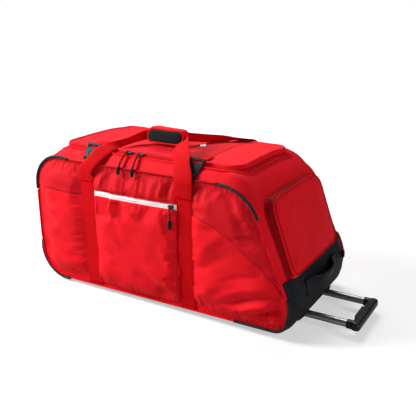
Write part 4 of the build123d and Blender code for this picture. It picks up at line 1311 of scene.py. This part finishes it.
def tab(end, middle):
    """Webbing that loops through the buckle's frame and is sewn to the lid."""
    profile = [(-169.0, 400.0), (-166.5, 403.6), (-162.5, 408.4), (-157.5, 412.6), (-150, 415.4),
               (-142, 416.3), (-134, 415.9), (-122, 415.4), (-110, 415.4), (-98, 415.6)]
    line = spline(profile, 60)
    centres = stacked(middle, line[:, 0], line[:, 1])
    facing = np.cross((1, 0, 0), unit(np.gradient(centres, axis=0)))
    webbing_piece = ribbon(f"lid_tab_{end}", centres, (1, 0, 0), facing, 32, 1.8, paint["red_web"])
    place(webbing_piece, "lid", ["lid_tabs"] if end == "left" else ())
    lid_thread.box([(middle - 13, -134, 416.6), (middle + 13, -134, 416.6), (middle + 13, -101, 416.5),
                    (middle - 13, -101, 416.5)])


lid_thread = Stitches("lid_stitches", "lid", "red_cord", "red_webbing")
for end, middle in BUCKLE_X.items():
    buckle(end, middle)
    tab(end, middle)
lid_thread.build()


def small_tag():
    """A small blank loop label on the lid."""
    stations = [(-24, 12, 413.6), (-23, 6, 415.0), (-20, -2, 417.2), (-16, -10, 417.0), (-12, -16, 415.0)]
    line = spline(stations, 24)
    side = np.array((0.82, 0.45, 0.1))
    facing = np.cross(unit(np.gradient(line, axis=0)), side)
    obj = ribbon("lid_label", line, side / np.linalg.norm(side), facing, 16, 0.8, paint["white_zip"])
    place(obj, "lid", ())


small_tag()


# ------------------------------------------------------------------ sliders and pulls
def slider(name, at, along, out, scale=1.0):
    """A zipper slider's upper plate, and an arched bridge for the pull, on the body of the same name."""
    along, out = np.array(along, float), np.array(out, float)
    along /= np.linalg.norm(along)
    out -= (out @ along) * along
    out /= np.linalg.norm(out)
    at = np.array(at, float)
    shape = [(-7, -3.2), (-3, -4.4), (3, -5.0), (7, -4.2), (7.6, 0), (7, 4.2), (3, 5.0), (-3, 4.4), (-7, 3.2)]
    shape = [(x * scale, y * scale) for x, y in shape]
    side = np.cross(out, along)
    upper = extruded(f"{name}_body", shape, [], (at + out * 1.2, along, side), 2.6, 0.6, paint["slider"])
    place(upper, name, [name])
    arch = [at + along * x * scale + out * z
            for x, z in ((-6, 2), (-5.4, 5), (-2, 6.6), (2, 6.6), (5.4, 5), (6, 2))]
    bridge = tube(f"{name}_bridge", spline(arch, 24), 1.0 * scale, paint["slider"], up=side)
    place(bridge, name, ())


TIP_LENGTH, TIP_WIDTH, TIP_DEPTH = 23.0, 10.5, 6.6
PULL_FACE = (0.3, -1, 0.2)


def pull(name, path):
    """Two twisted strands from the slider's bridge to a moulded tip, on the body of the same name."""
    step = 0.8
    line = resample(spline(path, 60), step)
    along, out, side = line_frames(line, PULL_FACE)
    run = np.arange(len(line)) * step
    total = run[-1]
    cord_part = run < total - TIP_LENGTH + 2
    for index, finish in enumerate(("red_cord", "black_cord")):
        phase = TURN * run / 7.5 + math.pi * index
        offset = 1.7 * (np.cos(phase)[:, None] * out + np.sin(phase)[:, None] * side)
        strand = tube(f"{name}_strand_{index + 1}", (line + offset)[cord_part], 2.0, paint[finish], sides=8,
                      up=PULL_FACE)
        place(strand, name, [name] if index == 0 else ())
    tip = run >= total - TIP_LENGTH
    centres = line[tip]
    t = np.linspace(0, 1, len(centres))
    swell = np.clip(np.sin(math.pi * np.clip(t * 0.96 + 0.02, 0, 1)), 0, 1) ** 0.13
    swell = swell * (1 - 0.07 * (np.sin(TURN * t * 5) > 0.3) * (t > 0.3))
    angles = np.linspace(0, TURN, 14, endpoint=False)
    wide, deep = 0.5 * TIP_WIDTH * swell, 0.5 * TIP_DEPTH * swell
    points = (centres[:, None] + wide[:, None, None] * np.cos(angles)[None, :, None] * side[tip][:, None]
              + deep[:, None, None] * np.sin(angles)[None, :, None] * out[tip][:, None]).reshape(-1, 3)
    faces = grid_faces(len(centres), 14, wrap_cols=True) + end_caps(len(centres), 14)
    place(make_mesh(f"{name}_tip", points, faces, material=paint["tip"]), name, ())


ZIP_FRONT_Y = LID_FRONT_Y - 5.0
for end, x in (("left", -158.0), ("right", -120.0)):
    slider(f"lid_slider_{end}", (x, ZIP_FRONT_Y, RIM_Z + 4.4), (1, 0, 0), (0, -0.25, 1), 1.3)
    dx = -3.0 if end == "left" else 2.0
    pull(f"lid_pull_{end}", [(x, -158, 413.6), (x + dx * 0.2, -164, 413.5), (x + dx * 0.5, -176, 406),
                             (x + dx, -190, 391), (x + dx * 1.3, -198.5, 374), (x + dx * 1.5, -200, 360)])


# ------------------------------------------------------------------ front pocket and its white zipper
def zip_height(x, above=0.0):
    """Height of the middle of the white zipper, or of a line above it: it rises a little to the right."""
    along = (np.asarray(x, float) - POCKET_X[0]) / (POCKET_X[1] - POCKET_X[0])
    return ZIP_Z + ZIP_RISE * along + above


def strip_on_front(name, low, high, lift, finish, replaced=(), rows=9, thick=1.2):
    """A strip of cloth that follows the front panel between two heights, given as functions of X."""
    grid_x, grid_t = np.meshgrid(np.linspace(*POCKET_X, 120), np.linspace(0, 1, rows), indexing="ij")
    z = low(grid_x) + (high(grid_x) - low(grid_x)) * grid_t
    points = stacked(grid_x, front_y(grid_x, z) - lift, z)
    obj = make_mesh(name, points, grid_faces(120, rows), stacked(grid_x, z, NO_SEAM), paint[finish])
    modify(obj, "SOLIDIFY", thickness=thick * MM, offset=0.0)
    return place(obj, "bag", replaced)


strip_on_front("front_zipper_white_tape", lambda x: zip_height(x, -8.2), lambda x: zip_height(x, 8.2), 1.0,
               "white_zip", ["front_zipper_tape"])
xs = np.linspace(POCKET_X[0] + 1, POCKET_X[1] - 1, 200)
coil("front_zipper_coil", stacked(xs, front_y(xs, zip_height(xs)) - 2.0, zip_height(xs)), (0, -1, 0), "bag",
     "white_zip", (), 1.5)
strip_on_front("front_pocket_panel", lambda x: POCKET_LOW_Z + 0 * x, lambda x: zip_height(x, -7.4), 1.9,
               "panel", ["front_pocket"], rows=70, thick=1.6)
strip_on_front("front_pocket_upper_lip", lambda x: zip_height(x, 7.4), lambda x: zip_height(x, 10.5), 1.8,
               "panel", rows=5, thick=1.4)
slide_x, slide_z = 2.0, float(zip_height(2.0))
slide_y = float(front_y(np.array([slide_x]), np.array([slide_z]))[0]) - 3.0
slider("pocket_slider", (slide_x, slide_y, slide_z), (1, 0, 0), (0, -1, 0))
pull("pocket_pull", [(slide_x, slide_y - 6.5, slide_z - 1), (slide_x + 0.5, slide_y - 8.5, slide_z - 8),
                     (slide_x - 0.5, slide_y - 8, slide_z - 24), (slide_x + 0.5, slide_y - 8, slide_z - 42),
                     (slide_x, slide_y - 8, slide_z - 58)])


# ------------------------------------------------------------------ end pocket
TILT = math.radians(23.9)
FOOT = np.array((324.0, 118.0))


def on_end(up, out, y):
    """A point up the leaning end, out from its face."""
    up, out, y = np.broadcast_arrays(np.asarray(up, float), np.asarray(out, float), np.asarray(y, float))
    return np.stack([FOOT[0] - math.sin(TILT) * up + math.cos(TILT) * out, y,
                     FOOT[1] + math.cos(TILT) * up + math.sin(TILT) * out], axis=-1)


END_BASE = corner_path([(-177, 26, 30), (172, 26, 30), (163, 242, 46), (-160, 242, 46)], 3.2)
END_TOP = corner_path([(-144, 36, 26), (148, 36, 26), (148, 233, 40), (-144, 233, 40)], 3.2)
END_MIDDLE = np.array((2.0, 135.0))
END_BOW = 3.5               # how far the wall bows out between its foot and its rim
RING_COUNT = 240


def ring_between(share):
    """A line round the pocket, from its foot on the bag (0) to its rim (1)."""
    foot, rim = (ring[np.linspace(0, len(ring), RING_COUNT, endpoint=False).astype(int)]
                 for ring in (END_BASE, END_TOP))
    return foot + (rim - foot) * share


def bowed_ring(share, proud=0.0):
    """The same line where the wall bows out, standing a little proud of it if asked."""
    ring = ring_between(share)
    return ring + unit(ring - END_MIDDLE) * (END_BOW * math.sin(math.pi * share) + proud)


def rim_out(up):
    """How far the pocket's rim stands out: further at its top."""
    return 17.0 + 13.0 * (np.clip(up, 30, 240) - 36) / 197


END_FOLDS = [
    ((-140, 44), (-96, 92), 7, 2.4), ((-144, 66), (-104, 120), 6, -1.8), ((-120, 38), (-40, 70), 9, 2.2),
    ((-60, 226), (-80, 170), 8, -1.6), ((0, 228), (-6, 180), 9, 1.6), ((60, 226), (40, 170), 9, -1.4),
    ((60, 40), (130, 70), 10, 1.8),
]


# The wall in section: share of the way up to the rim, and how far out it stands there. That is in
# millimetres for the first two rows and a share of the rim's for the others.
END_WALL = [(0.0, -4.0), (0.15, 2.0), (0.3, 0.25), (0.45, 0.45), (0.6, 0.62), (0.75, 0.8), (0.88, 0.95),
            (0.96, 1.02), (1.0, 1.0)]
WALL_SHARES, WALL_LEVELS = (0.15, 0.3, 0.45, 0.6, 0.78, 0.88, 1.0), (0.09, 0.23, 0.45, 0.6, 0.84, 0.95, 1.0)
ROLL_SHARES = (0.34, 0.76)              # where the two rolls beside the end zipper's tape lie on the wall


def wall_line(share, proud):
    """A closed line round the pocket's wall, standing a little proud of it."""
    ring = bowed_ring(share, proud)
    return on_end(ring[:, 1], rim_out(ring[:, 1]) * np.interp(share, WALL_SHARES, WALL_LEVELS), ring[:, 0])


def end_pocket():
    """The padded pocket on the handle end: walls, a rolled rim and a crowned face."""
    rows = []
    for share, lift in END_WALL:
        ring = bowed_ring(share)
        out = lift if share < 0.2 else rim_out(ring_between(share)[:, 1]) * lift
        rows.append(on_end(ring[:, 1], out, ring[:, 0]))
    rim = ring_between(1.0)
    corners = [int(np.argmin(np.abs(rim - corner).sum(1)))
               for corner in ((-140, 40), (144, 40), (136, 222), (-132, 222))]
    face = coons_grid(rim, corners, 110, 76)
    y, up = face[..., 0], face[..., 1]
    edge = np.sqrt(np.clip(((face[:, :, None] - rim[None, None, ::3]) ** 2).sum(-1).min(-1), 0, None))
    lift = 10.0 * np.sin(0.5 * math.pi * np.clip(edge / 75, 0, 1)) - 1.4 * bell(edge, 3, 3)
    folds = value_noise(y, up, 60, 61) * 1.4 + value_noise(y, up, 26, 62) * 0.4
    for start, end, width, height in END_FOLDS:
        folds = folds + ridge(y, up, start, end, width, height)
    face_points = on_end(up, rim_out(up) + lift + smooth(edge, 2, 18) * folds, y)
    points = np.array(rows)
    flat = np.vstack([points.reshape(-1, 3), face_points.reshape(-1, 3)])
    faces = grid_faces(len(rows), RING_COUNT, wrap_cols=True)
    faces += shifted(grid_faces(76, 110), len(rows) * RING_COUNT)
    height_up = (flat[:, 0] - FOOT[0]) * -math.sin(TILT) + (flat[:, 2] - FOOT[1]) * math.cos(TILT)
    obj = make_mesh("end_pocket_cloth", flat, faces, stacked(flat[:, 1], height_up, NO_SEAM), paint["panel"])
    modify(obj, "WELD", merge_threshold=1.2 * MM)
    face_up(obj, (1, 0, 0.3))
    place(obj, "bag", ["end_pocket"])


def end_pocket_trim():
    """The pocket's sewn rim, the two rolls along its wall and the zipper between them; the rim and rolls are
    a darker red that paints seam shade, and the zipper tape is a dark red that paints the wall's shade.
    """
    above_foot = ring_between(0.5)[:, 1] > 42
    order = np.roll(np.arange(RING_COUNT), -int(np.argmin(above_foot)))
    order = order[above_foot[order]]
    # The rim, the rolls and the coil are a darker red that paints the shade of seam grooves.
    rim = tube("end_pocket_rim", wall_line(1.0, 0.6), 1.9, paint["red_seam_shade"], closed=True, up=(1, 0, 0))
    place(rim, "bag", ())
    for name, share in zip(("roll_outer", "roll_inner"), ROLL_SHARES):
        roll = tube(f"end_pocket_{name}", wall_line(share, 0.6)[order], 2.2, paint["red_seam_shade"], up=(1, 0, 0))
        place(roll, "bag", ())
    # The zipper tape between the rolls: its dark red is painted shade on the wall.
    shares = np.linspace(*ROLL_SHARES, 7)
    tape = np.array([wall_line(share, 0.9)[order] for share in shares])
    cloth = stacked(np.repeat(shares[:, None] * 34.0, len(order), axis=1), 0.0)
    shade_tape_piece = make_mesh("end_pocket_zipper_tape_painted_shade", tape.reshape(-1, 3), grid_faces(len(shares), len(order)),
                           cloth, paint["red_shade_tape"])
    face_up(shade_tape_piece, (0, 0, 1))
    place(shade_tape_piece, "bag", ())
    coil("end_pocket_zipper_coil", wall_line(0.55, 0.9)[order], (1, 0, 0), "bag", "red_seam_shade",
         (), 1.6)


end_pocket()
end_pocket_trim()
slide_at = on_end(52.0, 11.0, 159.0)
slider("end_slider", slide_at, (-math.sin(TILT), 0, math.cos(TILT)), (0.5, 1, 0.2))
pull("end_pull", [slide_at + d for d in ((3, 5, 1), (8, 6, -3), (14, 6, -14), (22, 5, -32), (27, 4, -50),
                                         (29, 3, -70))])


# ------------------------------------------------------------------ black end base and grab handle
def end_base():
    """The reinforced black panel that wraps the foot of the handle end."""
    first, last = nearest(262, 20), nearest(312, BLACK_TOP)
    numbers = list(range(first, last + 1))
    grid = gusset_grid(numbers, np.linspace(0.004, 0.996, 150), lift=2.2)
    cloth = stacked(seam_length[numbers][:, None], grid[..., 1])
    flat = grid.reshape(-1, 3)
    faces = [face[::-1] for face in grid_faces(len(numbers), 150) if not in_bezel(*flat[list(face)].mean(0))]
    obj = make_mesh("end_base_cloth", flat, faces, cloth, paint["black_fabric"])
    modify(obj, "SOLIDIFY", thickness=2.0 * MM, offset=0.0)
    place(obj, "bag", ["end_base_panel"])
    edge = grid[-1]
    along, out, side = line_frames(edge, (1, 0, 0.4))
    tape = ribbon("end_base_binding", edge + out * 1.2, side, out, 11, 1.6, paint["black_fabric"])
    place(tape, "bag", ())
    for offset in (-3.6, 3.6):
        black_thread.line(edge + out * 2.0 + side * offset)


black_thread = Stitches("base_stitches", "bag", "black_cord", "black_fabric")
end_base()


def grab_handle():
    """A padded webbing band on the end base, sewn at both ends and bowed out between them."""
    path = spline([(337.5, -98, 110), (339.5, -84, 110), (343, -66, 110), (353, -36, 110), (357, 4, 110),
                   (353, 44, 110), (343, 74, 110), (339.5, 92, 110), (337.5, 106, 110)], 120)
    lean = -0.24 + 0.5 * smooth(path[:, 0], 340, 356)
    across = stacked(lean, 0.0, np.sqrt(1 - lean ** 2))
    facing = np.cross(across, unit(np.gradient(path, axis=0)))
    band = ribbon("end_grab_band", path, across, facing, 44, 4.2, paint["black_fabric"])
    place(band, "bag", ["end_grab_handle"])
    for side in (-18.0, 18.0):
        black_thread.line(path + across * side + np.array((2.4, 0, 0)))


grab_handle()
black_thread.build()


# ------------------------------------------------------------------ camera, light and floor
def look(eye, back, lens):
    """A camera at eye, looking against the direction back."""
    data = bpy.data.cameras.new("camera")
    data.lens, data.sensor_width = lens, 36.0
    data.clip_end = 50
    camera = bpy.data.objects.new("camera", data)
    bpy.context.scene.collection.objects.link(camera)
    z_axis = Vector(back).normalized()
    x_axis = Vector((0, 0, 1)).cross(z_axis).normalized()
    y_axis = z_axis.cross(x_axis)
    turn = Matrix((x_axis, y_axis, z_axis)).transposed().to_4x4()
    camera.matrix_world = Matrix.Translation(Vector(eye)) @ turn
    bpy.context.scene.camera = camera


AZIMUTH, ELEVATION = math.radians(30.28), math.radians(19.07)
BACK = (math.sin(AZIMUTH) * math.cos(ELEVATION), -math.cos(AZIMUTH) * math.cos(ELEVATION),
        math.sin(ELEVATION))
look((0.8643, -1.4903, 0.8318), BACK, 56.11)


def area_light(name, where, target, size, power):
    """A soft rectangular light aimed at a target."""
    data = bpy.data.lights.new(name, "AREA")
    data.shape, data.size, data.size_y = "RECTANGLE", size[0], size[1]
    data.energy = power
    obj = bpy.data.objects.new(name, data)
    bpy.context.scene.collection.objects.link(obj)
    obj.location = where
    obj.rotation_euler = (Vector(target) - Vector(where)).to_track_quat("-Z", "Y").to_euler()
    return obj


WORLD_GLOW, FLOOR_GLOW = 0.09, 0.06     # what the white surroundings and the floor add to the light
area_light("key", (-1.8, -1.0, 1.5), (0, 0, 0.2), (0.9, 0.9), 98)
area_light("top", (-1.0, 1.3, 2.6), (0, 0, 0.3), (2.0, 1.4), 70)
area_light("end", (2.8, -0.6, 1.2), (0.2, 0, 0.2), (1.2, 1.2), 32).data.specular_factor = 0.25
world = bpy.data.worlds.new("studio")
world.use_nodes = True
nodes, links = world.node_tree.nodes, world.node_tree.links
nodes["Background"].inputs["Color"].default_value = (1, 1, 1, 1)
light_path = nodes.new("ShaderNodeLightPath")
strength = nodes.new("ShaderNodeMapRange")
strength.inputs["To Min"].default_value = WORLD_GLOW
strength.inputs["To Max"].default_value = 1.0
links.new(light_path.outputs["Is Camera Ray"], strength.inputs["Value"])
links.new(strength.outputs[0], nodes["Background"].inputs["Strength"])
bpy.context.scene.world = world
bpy.context.scene.view_settings.view_transform = "Standard"


def floor():
    """A plain pale floor."""
    s = Shader("floor_paint")
    tone = s.noise(s.position(), 3.0, 3.0)
    s.finish(s.mix(s.span(tone, 0.3, 0.7), (0.50, 0.50, 0.50), (0.53, 0.53, 0.53)), 0.7)
    away = s.node("ShaderNodeVectorMath", {0: s.position()}, operation="LENGTH").outputs["Value"]
    s.feed(s.surface.inputs["Emission Color"], (1, 1, 1, 1))
    glow = s.span(away, 0.9, 3.2, 0.5, 1.0)
    seen = s.node("ShaderNodeLightPath").outputs["Is Camera Ray"]
    s.feed(s.surface.inputs["Emission Strength"], s.times(glow, s.span(seen, 0.0, 1.0, FLOOR_GLOW, 1.0)))
    reach = 9000
    corners = [(-reach, -reach, 0), (reach, -reach, 0), (reach, reach, 0), (-reach, reach, 0)]
    obj = make_mesh("floor", corners, [(0, 1, 2, 3)], material=s.material)


floor()

# ------------------------------------------------------------------ CAD nodes that stay in sight
CAD_PAINT = {
    "rubber": ("wheel_tyre_front", "wheel_tyre_rear"),
    "hub": ("wheel_hub_front", "wheel_hub_rear"),
    "steel": ("wheel_bearings_front", "wheel_bearings_rear", "wheel_axles", "foot_screws", "latch_pin_front",
              "latch_pin_rear", "pull_rods"),
    "plastic": ("wheel_housing_front", "wheel_housing_rear", "skid_foot_front", "skid_foot_rear",
                "trolley_bezel"),
    "tube": ("inner_tube_front", "inner_tube_rear", "guide_tubes"),
    "grip": ("grip_upper", "grip_lower"),
    "button": ("grip_button",),
    "inner": ("button_yoke", "guide_bushes", "latch_blocks", "tube_bracket"),
    "board": ("base_board", "floor_board"),
    "foam": ("floor_rails",),
    "gloss": ("buckle_socket_left", "buckle_socket_right"),
}
for finish, names in CAD_PAINT.items():
    for name in names:
        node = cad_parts[name]
        node.data.materials.clear()
        node.data.materials.append(paint[finish])
